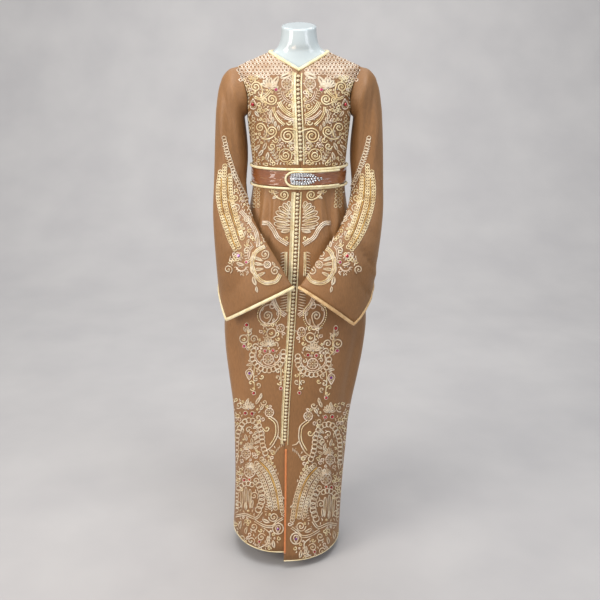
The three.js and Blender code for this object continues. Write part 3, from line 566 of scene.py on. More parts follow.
def evenly(rows, step, closed=False):
    """The same line with points at even steps, in millimetres."""
    line = rows + [rows[0]] if closed else rows
    lengths = [0.0]
    for (a, _), (b, _) in zip(line, line[1:]):
        lengths.append(lengths[-1] + (b - a).length)
    count = max(2, round(lengths[-1] * 1000 / step))
    even, at = [], 0
    for k in range(count if closed else count + 1):
        want = lengths[-1] * k / count
        while at < len(line) - 2 and lengths[at + 1] < want:
            at += 1
        share = (want - lengths[at]) / max(1e-9, lengths[at + 1] - lengths[at])
        even.append((line[at][0].lerp(line[at + 1][0], share), line[at][1].lerp(line[at + 1][1], share).normalized()))
    return even


def thread_material(name, light, middle, dark, pitch_mm, metal, rough, strength, twist=1.0):
    """Thread wound or plaited on a cord: slanting ridges along its length, a fine sparkle and uneven colour.
    The ridges' colour is painted shade: darker in the grooves between them, lighter on their tops.
    Real single threads are 0.1 mm thick; the ridges are drawn at the pitch given, so that they show."""
    material, tree, shader = new_material(name)
    place = add_node(tree, "ShaderNodeTexCoord")
    along = add_node(tree, "ShaderNodeSeparateXYZ", inputs={0: place.outputs["UV"]})
    lengthwise = add_node(tree, "ShaderNodeMath", {"operation": "MULTIPLY"}, {
        0: along.outputs["X"], 1: 2000 * math.pi / pitch_mm})
    slanted = add_node(tree, "ShaderNodeMath", {"operation": "MULTIPLY_ADD"}, {
        0: along.outputs["Y"], 1: 2 * math.pi * twist, 2: lengthwise.outputs[0]})
    ridge = add_node(tree, "ShaderNodeMath", {"operation": "SINE"}, {0: slanted.outputs[0]})
    spark = add_node(tree, "ShaderNodeTexVoronoi", inputs={"Vector": place.outputs["Object"], "Scale": 750.0})
    uneven = noise(tree, place, 45.0, 3.0)
    # Painted shade: the colour is darker in the grooves between the ridges and lighter on their tops, over an uneven
    # tone.
    shade = add_node(tree, "ShaderNodeMath", {"operation": "MULTIPLY_ADD"}, {
        0: ridge.outputs[0], 1: 0.16, 2: uneven.outputs["Fac"]})
    paint(tree, shader, shade.outputs[0], [(0.3, dark), (0.5, middle), (0.7, light)])
    glitter = add_node(tree, "ShaderNodeMapRange", inputs={
        "Value": spark.outputs["Color"], 3: rough - 0.14, 4: rough + 0.12})
    tree.links.new(glitter.outputs["Result"], shader.inputs["Roughness"])
    set_surface(shader, {"Metallic": metal, "Sheen Weight": 0.2})
    height = add_node(tree, "ShaderNodeMath", {"operation": "MULTIPLY_ADD"}, {
        0: spark.outputs["Distance"], 1: 0.6, 2: ridge.outputs[0]})
    set_bump(tree, shader, height.outputs[0], strength, 0.0006)
    return material


cream_braid = thread_material("cream_silk_braid", "#F3E9C6", "#E9DCB0", "#D3BF8C", 4.0, 0.1, 0.45, 0.5)
tan_braid = thread_material("tan_silk_braid", "#DDBE8E", "#CDA873", "#B48C5A", 4.0, 0.1, 0.45, 0.5)


def edge_line(rows, radius, gap, step, closed=False):
    line = [(point + out * (radius + gap) - up * (0.5 * CLOTH_THICK), up) for point, up, out in rows]
    return evenly(line if closed else smoothed(line, 2), step, closed)


for side, braid in [("right", cream_braid), ("left", tan_braid)]:
    store = new_store()
    line = edge_line(cuff_edges[side], CUFF_BRAID / 2, 0.0002, 4, closed=True)
    sweep_rope(store, line, CUFF_BRAID, CUFF_BRAID * 0.8, sides=10, closed=True, sunk=0.5)
    piece_from(store, "cuff_braid_" + side, braid, "gold_braid", "cuff_cord_" + side)
for side in ("right", "left", "back"):
    rows = neck_edges[side]
    store = new_store()
    sweep_rope(store, edge_line(rows[:-1] if side != "back" else rows, NECK_BRAID / 2, 0.0002, 4), NECK_BRAID,
               NECK_BRAID * 0.85, sides=10, sunk=0.38)
    piece_from(store, "neck_braid_" + side, cream_braid, "gold_braid", "neck_cord_" + side)
    store = new_store()
    sweep_rope(store, edge_line(hem_edges[side], HEM_CORD / 2, 0.0003, 5), HEM_CORD, sides=8, sunk=0.5)
    piece_from(store, "hem_cord_of_silk_" + side, cream_braid, "gold_braid", "hem_cord_" + side)

# ---- Braids and buttons down the front ----
# Beside the buttons a flat pale gold braid is sewn on the wearer's right front and a narrow one on the
# left. Silk balls, each on a short cross cord, stand between them, one every 11 mm.
BUTTON_PITCH, BUTTON_SIZE = 0.0110, 0.0086
BELT_SPAN = (1.206, 1.284)
SLIT_TOP = 0.441


def cast(origin, direction, nodes):
    """The first point where a straight line meets the outer face of one of these cloth pieces."""
    best = None
    for node in nodes:
        point, normal, _, distance = cloth_tree[node].ray_cast(origin, direction)
        if point is not None and (best is None or distance < best[0]):
            best = (distance, point, normal if normal.dot(direction) < 0 else -normal)
    return best


def beside_buttons(aside_mm, z, lift=0.0):
    """A point on the front that lies this far from the line of buttons, with the cloth's direction there."""
    at = min(range(len(button_edge) - 1), key=lambda i: abs(button_edge[i][0].z - z))
    near = [button_edge[i][0] for i in (max(0, at - 1), min(len(button_edge) - 1, at + 1))]
    share = (z - near[0].z) / (near[1].z - near[0].z)
    x = near[0].x + (near[1].x - near[0].x) * share + aside_mm / 1000
    hit = cast(Vector((x, -1.0, z)), Vector((0, 1, 0)), ("front_left", "front_right"))
    return (hit[1] + hit[2] * lift, hit[2]) if hit else None


def front_line(aside_mm, top, bottom, lift=0.0):
    heights = [top + (bottom - top) * k / 120 for k in range(121)]
    return smoothed([row for row in (beside_buttons(aside_mm, z, lift) for z in heights) if row], 2)


# Each row: distance from the buttons, width and height of the braid, in millimetres.
PLACKET = {"right": [(-9.4, 6.6, 2.6), (-14.4, 2.2, 2.2), (-17.4, 1.8, 1.8)], "left": [(8.0, 4.0, 2.8)]}
DRAWN_TO = -6.6
# Each row: top, bottom, and the share of its width and distance that the braid keeps there.
BRAID_SPANS = [(1.5235, BELT_SPAN[1], 1.0), (BELT_SPAN[0], 0.86, 1.0), (0.86, SLIT_TOP - 0.006, 0.62)]
for side, braids in PLACKET.items():
    store = new_store()
    for aside, width, height in braids:
        for top, bottom, share in BRAID_SPANS:
            if top > 1.5:
                top += 0.00054 * abs(aside)
            drawn_in = share < 1.0 and side == "right"
            seam = DRAWN_TO + (aside - DRAWN_TO) * share if drawn_in else aside
            sweep_rope(store, front_line(seam, top, bottom), width * share / 1000, height / 1000, sides=8)
    piece_from(store, "placket_braid_" + side, cream_braid, "gold_braid", "placket_" + side)

# Knotted silk: three strands over and under round each ball, drawn by its own turn and height.
# Its colour is painted shade and highlight: dark in the gaps between the strands, pale on their tops.
silk_knot, tree, shader = new_material("knotted_pale_silk")
place = add_node(tree, "ShaderNodeTexCoord")
round_ball = add_node(tree, "ShaderNodeSeparateXYZ", inputs={0: place.outputs["UV"]})
strands = []
for lean in (12 * math.pi, -12 * math.pi):
    rise = add_node(tree, "ShaderNodeMath", {"operation": "MULTIPLY"}, {0: round_ball.outputs["Y"], 1: 9.0})
    wave = add_node(tree, "ShaderNodeMath", {"operation": "MULTIPLY_ADD"}, {
        0: round_ball.outputs["X"], 1: lean, 2: rise.outputs[0]})
    strands.append(add_node(tree, "ShaderNodeMath", {"operation": "SINE"}, {0: wave.outputs[0]}).outputs[0])
knot = add_node(tree, "ShaderNodeMath", {"operation": "MAXIMUM"}, {0: strands[0], 1: strands[1]})
lit = add_node(tree, "ShaderNodeMapRange", inputs={"Value": knot.outputs[0], 1: -0.6, 2: 1.0})
paint(tree, shader, lit.outputs["Result"], [(0.1, "#A98F5E"), (0.5, "#DCCB9C"), (0.9, "#F3E9C8")])
set_surface(shader, {"Roughness": 0.42, "Sheen Weight": 0.3})
set_bump(tree, shader, knot.outputs[0], 0.6, 0.0008)

bpy.ops.mesh.primitive_uv_sphere_add(segments=10, ring_count=7, radius=0.5)
ball = bpy.context.active_object
ball.name = "button_pattern"
bpy.ops.object.mode_set(mode="EDIT")
bpy.ops.mesh.select_all(action="SELECT")
bpy.ops.transform.resize(value=(1, 1, 0.88))
bpy.ops.object.mode_set(mode="OBJECT")


def copies_of(store, pattern, places):
    """Adds a copy of a small modelled piece at each (point, up, size), with its own pattern coordinates."""
    mesh = pattern.data
    shape = [vertex.co.copy() for vertex in mesh.vertices]
    layer = mesh.uv_layers.active.data
    for point, up, size in places:
        first = len(store["points"])
        turn = up.to_track_quat("Z", "Y")
        scale = size if isinstance(size, Vector) else Vector((size, size, size))
        store["points"] += [point + turn @ Vector((co.x * scale.x, co.y * scale.y, co.z * scale.z)) for co in shape]
        for face in mesh.polygons:
            store["faces"].append(tuple(first + v for v in face.vertices))
            store["turns"] += [tuple(layer[i].uv) for i in face.loop_indices]


for name, top, bottom in [("bodice", 1.519, BELT_SPAN[1] + 0.006), ("skirt", BELT_SPAN[0] - 0.006, SLIT_TOP + 0.002)]:
    store = new_store()
    count = int((top - bottom) / BUTTON_PITCH)
    seats = [beside_buttons(-0.6, top - BUTTON_PITCH * k) for k in range(count + 1)]
    copies_of(store, ball, [(point + up * 0.0042, up, BUTTON_SIZE) for point, up in seats])
    for point, up in seats:
        across = Vector((1, 0, 0)) - up * up.x
        loop = [(point + across * reach + up * 0.0004, up) for reach in (-0.0062, -0.003, 0.003, 0.0062)]
        sweep_rope(store, loop, 0.0016, sides=5)
    piece_from(store, "silk_buttons_" + name, silk_knot, "silk_knots", "buttons_" + name)
bpy.data.objects.remove(ball)

# ---- Slit binding ----
# A 7 mm rust satin binding on the free edge of the wearer's left front, below the buttons.
# It is folded over the edge and stitched, and shows as a rounded band.
rust_satin, tree, shader = new_material("rust_satin")
place = add_node(tree, "ShaderNodeTexCoord")
slub = noise(tree, place, 1.0, 3.0, (900.0, 900.0, 90.0))
paint(tree, shader, slub.outputs["Fac"], [(0.3, "#B5622F"), (0.55, "#C97A41"), (0.75, "#DB9457")])
set_surface(shader, {"Roughness": 0.34, "Sheen Weight": 0.3})
set_bump(tree, shader, slub.outputs["Fac"], 0.25, 0.0004)

store = new_store()
binding = [(point - out * 0.0030 + up * 0.0002, up) for point, up, out in button_edge if point.z < SLIT_TOP - 0.010]
sweep_rope(store, evenly(smoothed(binding, 3), 6), 0.0068, 0.0028, sides=10, sunk=0.35)
piece_from(store, "satin_slit_binding", rust_satin, "rust_satin", "slit_binding")

# ---- Belt ----
# A 62 mm belt of copper-brown satin under a clear gloss film, stiffened inside, with a round pale
# braid on each edge. Its free end laps over the front and ends in a half round.
belt_satin, tree, shader = new_material("copper_brown_satin_under_film")
place = add_node(tree, "ShaderNodeTexCoord")
sateen = noise(tree, place, 1.0, 3.0, (60.0, 60.0, 1100.0))
film = noise(tree, place, 1.0, 2.0, (9.0, 9.0, 38.0), turn=(0.0, 0.7, 0.0))
paint(tree, shader, sateen.outputs["Fac"], [(0.3, "#704022"), (0.5, "#824C2A"), (0.7, "#986038")])
set_surface(shader, {"Roughness": 0.4, "Coat Weight": 1.0, "Coat Roughness": 0.05})
wrinkle = add_node(tree, "ShaderNodeBump", inputs={"Height": film.outputs["Fac"], "Strength": 0.9, "Distance": 0.03})
tree.links.new(wrinkle.outputs["Normal"], shader.inputs["Coat Normal"])
set_bump(tree, shader, sateen.outputs["Fac"], 0.15, 0.0003)

for node, name in [("belt", "belt_band"), ("belt_tab", "belt_free_end")]:
    band = copy_of(node, name)
    subdivide_smoothly(band, 2)
    finish_piece(band, belt_satin, "belt_satin", node)


def cord_middles(node, sides, closed):
    """The middle line of a packed cord, read off its rings of this many points."""
    cord = copy_of(node, "measured_cord")
    points = [vertex.co.copy() for vertex in cord.data.vertices]
    near = {i: set() for i in range(len(points))}
    for a, b in (edge.vertices for edge in cord.data.edges):
        near[a].add(b)
        near[b].add(a)
    bpy.data.objects.remove(cord)
    if closed:
        by_turn = sorted(points, key=lambda p: math.atan2(p.y, p.x))
        turns = [math.atan2(p.y, p.x) for p in by_turn]
        rings, ring = [], [by_turn[0]]
        for point, a, b in zip(by_turn[1:], turns, turns[1:]):
            if b - a > math.radians(2.5):
                rings.append(ring)
                ring = []
            ring.append(point)
        rings.append(ring)
        if len(rings[0]) < sides:
            rings[0] += rings.pop()
        return [sum(ring, Vector()) / len(ring) for ring in rings]
    start = max(range(len(points)), key=lambda i: points[i].x + 2 * points[i].z)
    ring = sorted(range(len(points)), key=lambda i: (points[i] - points[start]).length)[:sides]
    seen, rings = set(), []
    while ring:
        rings.append(sum((points[i] for i in ring), Vector()) / len(ring))
        seen |= set(ring)
        ring = {n for i in ring for n in near[i]} - seen
    return rings


def curve_through(points, step, closed=False):
    """A smooth line through the points, which may be on a sheet or in space, with its points at even steps."""
    count = len(points)
    fine = []
    for i in range(count if closed else count - 1):
        a, b, c, d = (points[(i + k) % count] if closed else points[min(count - 1, max(0, i + k))]
                      for k in (-1, 0, 1, 2))
        for k in range(8):
            t = k / 8
            fine.append(tuple(0.5 * (2 * q + (r - p) * t + (2 * p - 5 * q + 4 * r - e) * t * t
                                     + (3 * q - p - 3 * r + e) * t ** 3) for p, q, r, e in zip(a, b, c, d)))
    fine.append(tuple(points[0 if closed else -1]))
    lengths = [0.0]
    for a, b in zip(fine, fine[1:]):
        lengths.append(lengths[-1] + math.dist(a, b))
    total = max(2, round(lengths[-1] / step))
    even, at = [], 0
    for k in range(total if closed else total + 1):
        want = lengths[-1] * k / total
        while at < len(fine) - 2 and lengths[at + 1] < want:
            at += 1
        share = (want - lengths[at]) / max(1e-9, lengths[at + 1] - lengths[at])
        even.append(tuple(p + (q - p) * share for p, q in zip(fine[at], fine[at + 1])))
    return even


for node, name, sides, closed, width in [
        ("belt_cord_top", "belt_edge_top", 5, True, 0.0076), ("belt_cord_bottom", "belt_edge_bottom", 5, True, 0.0066),
        ("belt_tab_cord", "belt_end_edge", 6, False, 0.0060)]:
    line = [Vector(p) for p in curve_through(cord_middles(node, sides, closed), 0.004, closed)]
    rows = [(p, Vector((p.x, p.y, 0)).normalized()) for p in line]
    store = new_store()
    sweep_rope(store, rows, width, sides=12, closed=closed, sunk=0.75)
    piece_from(store, name, cream_braid, "gold_braid", node)

# ---- Brooch ----
# A leaf-shaped cluster of clear stones in thin silver rings, pinned to the belt's free end: large
# round stones along its middle, small ones round them and slim drops along its rim.
cut_stone, tree, shader = new_material("clear_cut_stone")
place = add_node(tree, "ShaderNodeTexCoord")
# The stones' grey to white cells are painted reflection, flashes of light on the facets; the same cells also drive the
# bump.
facet_cells_with_painted_flash = add_node(tree, "ShaderNodeTexVoronoi", inputs={"Vector": place.outputs["Object"], "Scale": 420.0})
paint(tree, shader, facet_cells_with_painted_flash.outputs["Color"], [(0.1, "#8F979F"), (0.45, "#E3E8EE"), (0.85, "#FFFFFF")])
set_surface(shader, {"Metallic": 0.55, "Roughness": 0.08, "Coat Weight": 1.0, "Coat Roughness": 0.02})
set_bump(tree, shader, facet_cells_with_painted_flash.outputs["Color"], 0.4, 0.0005)


def cut_pattern(name, depth, bevel):
    """A round stone with eight sides and a bevelled crown, 1 across."""
    bpy.ops.mesh.primitive_cylinder_add(vertices=8, radius=0.5, depth=depth)
    pattern = bpy.context.active_object
    pattern.name = name
    crown = pattern.modifiers.new("crown", "BEVEL")
    crown.width = bevel
    crown.segments = 1
    bpy.ops.object.modifier_apply(modifier=crown.name)
    return pattern


brilliant = cut_pattern("cut_stone_pattern", 0.34, 0.16)
belt_tree = BVHTree.FromObject(bpy.data.objects["belt_free_end"], bpy.context.evaluated_depsgraph_get())
# Each row: from left end to right end in mm, rise, size and how much longer than wide.
STONES = [(-16 + 8.6 * k, 2.0 + 1.0 * math.sin(k), 9.0 - 0.55 * k, 1.0) for k in range(9)]
STONES += [(-13 + 7.4 * k, 2.0 + side * (9.2 - 0.115 * abs(k - 2) ** 2.0), 6.4 - 0.3 * k, 1.0)
           for k in range(9) for side in (-1, 1)]
STONES += [(-19 + 6.6 * k, 2.0 + side * (14.6 - 0.12 * abs(k - 3.5) ** 2.2), 4.6 - 0.1 * k, 1.5)
           for k in range(10) for side in (-1, 1)]
STONES += [(-22.0, 2.0, 4.6, 1.4), (-21.0, 8.0, 4.4, 1.4), (-21.0, -4.0, 4.4, 1.4), (62.0, 2.0, 4.6, 1.7),
    (56.0, -3.0, 3.8, 1.4)]
store, setting = new_store(), new_store()
belt_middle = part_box("belt_tab")[0].lerp(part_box("belt_tab")[1], 0.5).z
seats = []
for x, rise, size, stretch in STONES:
    point, normal, _, _ = belt_tree.ray_cast(Vector((x / 1000, -1.0, belt_middle + rise / 1000)), Vector((0, 1, 0)))
    if point is not None:
        seats.append((point + normal * 0.0030, normal, Vector((size, size * stretch, size * 0.9)) / 1000))
copies_of(store, brilliant, seats)
piece_from(store, "brooch_stones", cut_stone, "crystal", "brooch", smooth=False)
silver, tree, shader = new_material("polished_silver_claws")
place = add_node(tree, "ShaderNodeTexCoord")
wear = noise(tree, place, 300.0, 3.0)
paint(tree, shader, wear.outputs["Fac"], [(0.35, "#A9ADB3"), (0.65, "#D9DCE0")])
set_surface(shader, {"Metallic": 1.0, "Roughness": 0.22})
for point, up, size in seats:
    side = up.orthogonal().normalized()
    ring = [(point - up * 0.0012 + (side * math.cos(t) * size.x + up.cross(side) * math.sin(t) * size.y) * 0.56, up)
            for t in (math.pi * k / 5 for k in range(10))]
    sweep_rope(setting, ring, 0.0012, 0.0030, sides=4, closed=True, sunk=0.6)
piece_from(setting, "brooch_setting", silver, "crystal")
bpy.data.objects.remove(brilliant)

# ---- Bodice embroidery ----
# Gold, silver-gilt and cream cords and satin stitch, couched down on the cloth, alike on the two
# fronts. It is drawn for one side on a flat sheet in units of about 3 mm, as the distance outward from
# the middle line and the depth, and is pressed straight onto the cloth.
VIEW_TURN = Matrix.Rotation(math.radians(90) - VIEW_DOWN, 3, "X")
FRONTS = {-1: ("front_right",), 1: ("front_left",)}
SLEEVES = {-1: ("sleeve_right",), 1: ("sleeve_left",)}
# Each row: depth, middle line, and how much lower the wearer's left side hangs.
MIDDLES = {
    "front": [(60, 298.0, 0.0), (160, 300.5, 0.0), (187, 298.0, 0.0), (229, 295.9, 0.0), (270, 295.3, 0.0),
              (316, 292.0, 0.0), (328, 291.0, 4.5), (396, 290.0, 4.5), (402, 289.0, 3.0), (530, 287.0, 10.0)],
    "sleeve": [(144, 296.5, 0.0), (230, 295.5, 0.0), (255, 293.0, 0.0), (285, 294.0, 0.0)],
}
THREADS = {
    "gold": thread_material("gold_metal_thread", "#FFF3CF", "#F6E2AF", "#C8A468", 2.6, 0.05, 0.38, 0.8),
    "silver": thread_material("silver_gilt_thread", "#FFF3E0", "#F8E2C8", "#C9A988", 2.6, 0.06, 0.36, 0.8),
    "cream": thread_material("cream_silk_satin_stitch", "#FFF6E0", "#FCE6C4", "#D9B78A", 1.6, 0.05, 0.4, 0.9,
    twist=0.0),
    "amber": thread_material("amber_silk_satin_stitch", "#E9BC62", "#D3A04A", "#9F7030", 1.6, 0.08, 0.38, 0.9,
    twist=0.0),
}
thread_stores, bead_seats, stone_seats = {}, {}, {}
lines, beads, stones = [], [], []


def middle_at(cloth, v):
    table = MIDDLES[cloth]
    v = min(max(v, table[0][0]), table[-1][0])
    for (a, *low), (b, *high) in zip(table, table[1:]):
        if v <= b:
            return [p + (q - p) * (v - a) / (b - a) for p, q in zip(low, high)]


# Cloth seen at less than this slant, and a step on the cloth longer than this, break a cord off.
GRAZING, LONGEST_STEP = 0.12, 0.014


def press(u, v, nodes):
    """The place on the cloth that lies straight behind this place on the sheet."""
    along = VIEW_TURN @ Vector(((u - VIEW_HALF) / VIEW_FOCUS, (VIEW_HALF - v) / VIEW_FOCUS, -1))
    hit = cast(VIEW_FROM, along.normalized(), nodes)
    return hit if hit and abs(hit[2].dot(along.normalized())) > GRAZING else None


def sew(cloth, nodes_by_side, sides=(-1, 1)):
    """Presses the drawing on the cloth, mirrored, and empties the sheet. A cord ends where its cloth ends."""
    for side in sides:
        nodes = nodes_by_side[side]
        for line, width, thread, taper in lines:
            store = thread_stores.setdefault((thread, nodes[0]), new_store())
            run = []
            for x, v in line + [(None, None)]:
                hit = None
                if x is not None:
                    middle, lower = middle_at(cloth, v)
                    hit = press(middle + side * x, v + (lower if side > 0 else 0), nodes)
                if hit and (not run or (hit[1] - run[-1][0]).length < LONGEST_STEP):
                    run.append((hit[1], hit[2]))
                    continue
                if len(run) > 1:
                    sweep_rope(store, run, width / 1000, min(width * 0.78, 3.3) / 1000, sides=5 if width > 2 else 4,
                               taper=taper, sunk=0.1)
                run = [(hit[1], hit[2])] if hit else []
        for seats, places in ((bead_seats, beads), (stone_seats, stones)):
            for x, v, size, kind in places:
                middle, lower = middle_at(cloth, v)
                hit = press(middle + side * x, v + (lower if side > 0 else 0), nodes)
                if hit:
                    key = kind if seats is stone_seats else (kind, nodes[0])
                    seats.setdefault(key, []).append((hit[1] + hit[2] * size * 0.0003, hit[2], size / 1000))
    lines.clear()
    beads.clear()
    stones.clear()


def draw(path, width=3.3, thread="gold", taper=False, step=1.1):
    lines.append((curve_through(path, step), width, thread, taper))


def placed(shape, x, v, size, turn):
    """A shape of unit size turned and moved to its place; 0 degrees points outward and 90 down."""
    c, s = math.cos(math.radians(turn)), math.sin(math.radians(turn))
    return [(x + size * (p * c - q * s), v + size * (p * s + q * c)) for p, q in shape]


def coil(turns, inner=0.2):
    count = max(6, int(11 * turns))
    return [((1 - (1 - inner) * k / count) * math.cos(2 * math.pi * turns * k / count),
             (1 - (1 - inner) * k / count) * math.sin(2 * math.pi * turns * k / count)) for k in range(count + 1)]


def spiral(x, v, size, turn=0, thread="gold"):
    draw(placed(coil(min(2.2, max(0.9, size / 3.0))), x, v, size, turn), 3.7, thread)
    beads.append((x, v, 3.8, "gold"))


def scroll(x, v, size, turn, thread="gold"):
    """A spiral on a stem, with leaflets along the stem."""
    stem = [(0.2, -2.35), (0.75, -1.75), (1.05, -0.95), (1.0, 0.0)]
    draw(placed(stem + coil(min(2.2, max(0.9, size / 3.0)))[1:], x, v, size, turn), 4.0, thread)
    beads.append((x, v, 4.0, "gold"))
    for p, q, a in [(0.95, -1.35, -25), (0.62, -1.95, -35), (0.55, -1.5, 200), (0.2, -2.1, 215)]:
        (px, pv), = placed([(p, q)], x, v, size, turn)
        leaf(px, pv, 0.62 * size, turn + a, "cream")


def leaf(x, v, size, turn, thread="cream"):
    """Satin stitch in two halves with the cloth showing as its vein."""
    for q in (-0.13, 0.13):
        draw(placed([(0, 0.2 * q), (0.35, q), (0.7, q * 0.9 + 0.03), (1, 0.1 + 0.1 * q)], x, v, size, turn),
             max(1.8, 0.62 * size), thread, taper=True, step=max(0.8, size / 7))


def leaf_line(x, v, size, turn):
    draw(placed([(-1.1, 0.1), (0, 0), (1.1, 0.12)], x, v, size, turn), 2.0)
    for k in range(5):
        for a in (-50, 50):
            (px, pv), = placed([(-1.0 + 0.45 * k, 0)], x, v, size, turn)
            leaf(px, pv, 0.5 * size, turn + a)


def spray(x, v, size, turn):
    for k in range(7):
        leaf(*placed([(0.12 * math.cos(0.4 * (k - 3)), 0.12 * math.sin(0.4 * (k - 3)))], x, v, size, turn)[0],
             size * (0.95 - 0.05 * abs(k - 3)), turn + 23 * (k - 3))
    beads.append((x, v, 4.0, "silver"))


def comb(x, v, size, start, end):
    """A double arc with teeth along its outside."""
    for reach in (1.0, 0.86):
        draw([(x + size * reach * math.cos(math.radians(a)), v + size * reach * math.sin(math.radians(a)))
              for a in (start + (end - start) * k / 8 for k in range(9))], 2.5, "silver")
    count = max(3, int(abs(end - start) / 180 * math.pi * size / 2.1))
    for k in range(count + 1):
        a = math.radians(start + (end - start) * k / count)
        draw([(x + size * m * math.cos(a), v + size * m * math.sin(a)) for m in (1.06, 1.2, 1.36)], 3.2, "cream", True,
            0.8)


def drop(x, v, size, turn, colour=None):
    outline = [(-1.25, 0), (-0.5, -0.42), (0.2, -0.7), (0.8, -0.5), (1, 0), (0.8, 0.5), (0.2, 0.7), (-0.5, 0.42),
        (-1.25, 0)]
    draw(placed(outline, x, v, size, turn), 3.6, "silver")
    if size > 4:
        draw(placed(outline, x, v, size * 0.62, turn), 2.0, "gold")
    if colour:
        stones.append((x, v, 2.2 * size + 1.0, colour))


def ring(x, v, size, width=3.0, thread="gold"):
    draw([(x + size * math.cos(math.pi * k / 6), v + size * math.sin(math.pi * k / 6)) for k in range(13)],
         width, thread, step=max(0.55, min(1.1, size / 2.6)))


def rosette(x, v, size, petals=8):
    ring(x, v, size, 3.2, "silver")
    for k in range(petals):
        leaf(*placed([(0.26, 0)], x, v, size, 360 * k / petals)[0], 0.66 * size, 360 * k / petals)
    beads.append((x, v, 4.2, "gold"))


def lobe(x, v, to_x, to_v, wide, thread="cream"):
    """A long loop of cord from its foot to its tip, with a line of stitches inside."""
    length = math.hypot(to_x - x, to_v - v)
    turn = math.degrees(math.atan2(to_v - v, to_x - x))
    half = 0.5 * wide / length
    draw(placed([(0, 0), (0.35, -half * 0.8), (0.8, -half), (1, 0), (0.8, half), (0.35, half * 0.8), (0, 0)],
                x, v, length, turn), 3.2, thread)
    draw(placed([(0.12, 0), (0.5, 0), (0.86, 0)], x, v, length, turn), max(2.2, wide - 1.0), "gold", taper=True)


def stone(x, v, size, colour):
    stones.append((x, v, 1.5 * size, colour))
    ring(x, v, size / 3.4, 2.2, "silver")


def rope(path, strands=2, gap=1.6, width=3.4, thread="gold", middle=None):
    """Parallel cords along a path; the middle one can be of another thread."""
    line = curve_through(path, 1.1)
    for k in range(strands):
        off = gap * (k - (strands - 1) / 2)
        moved = []
        for i, (x, v) in enumerate(line):
            (ax, av), (bx, bv) = line[max(0, i - 1)], line[min(len(line) - 1, i + 1)]
            length = math.hypot(bx - ax, bv - av) or 1.0
            moved.append((x - off * (bv - av) / length, v + off * (bx - ax) / length))
        centre = middle and strands % 2 and k == strands // 2
        lines.append((moved, width * 1.3 if centre else width, middle if centre else thread, False))


def chain(path, size, pitch, thread="gold", width=1.9):
    for x, v in curve_through(path, pitch):
        ring(x, v, size, width, thread)


def string(path, size=3.4, pitch=1.25):
    """Seed beads sewn in a row."""
    beads.extend((x, v, size, "gold") for x, v in curve_through(path, pitch))


def teeth(path, length, turn, pitch=2.6, width=3.0, thread="cream"):
    """Short satin stitches standing off a path."""
    c, s = math.cos(math.radians(turn)), math.sin(math.radians(turn))
    for x, v in curve_through(path, pitch):
        draw([(x, v), (x + 0.5 * length * c, v + 0.5 * length * s), (x + length * c, v + length * s)], width, thread,
            True, 0.9)


# Room in units that a curl needs round it.
FREE_ROOM = 1.35


def fill(outline, pitch=3.0):
    """Puts small curls and seed beads where the cloth inside an outline is still bare."""
    near = {}
    for line, width, _, _ in lines:
        for x, v in line:
            near.setdefault((int(x // 2), int(v // 2)), []).append((x, v, width / 6))
    rows_down = int((max(v for _, v in outline) - min(v for _, v in outline)) / (pitch * 0.87)) + 1
    low_x, low_v = min(x for x, _ in outline), min(v for _, v in outline)
    columns = int((max(x for x, _ in outline) - low_x) / pitch) + 1
    for j in range(rows_down):
        for i in range(columns):
            shake = math.sin(i * 12.9898 + j * 78.233) * 437.585 % 1
            turn = math.sin(i * 39.346 + j * 11.135) * 917.331 % 1
            x = low_x + pitch * (i + 0.5 * (j % 2) + 0.3 * (shake - 0.5))
            v = low_v + pitch * (0.87 * j + 0.3 * (turn - 0.5))
            inside = False
            for (ax, av), (bx, bv) in zip(outline, outline[1:] + outline[:1]):
                if (av > v) != (bv > v) and x < ax + (bx - ax) * (v - av) / (bv - av):
                    inside = not inside
            if not inside:
                continue
            room = min([math.hypot(px - x, pv - v) - half for a in (-1, 0, 1) for b in (-1, 0, 1)
                        for px, pv, half in near.get((int(x // 2) + a, int(v // 2) + b), [])] + [2.4])
            if room > FREE_ROOM and shake > 0.35:
                size = min(room - 0.35, 2.0)
                lines.append((curve_through(placed(coil(1.0, 0.4), x, v, size, 360 * turn), 0.8), 3.3,
                              "silver" if shake > 0.75 else "gold", False))
            elif room > FREE_ROOM - 0.3:
                lines.append((curve_through(placed([(-1.3, 0.2), (0, -0.25), (1.3, 0.2)], x, v, 1.0, 50 + 80 * turn),
                    0.6),
                              4.0, "cream", True))
            elif room > 0.75:
                beads.append((x, v, 2.8, "silver" if shake > 0.5 else "gold"))


def stitch(table):
    for motif, *values in table:
        motif(*values)


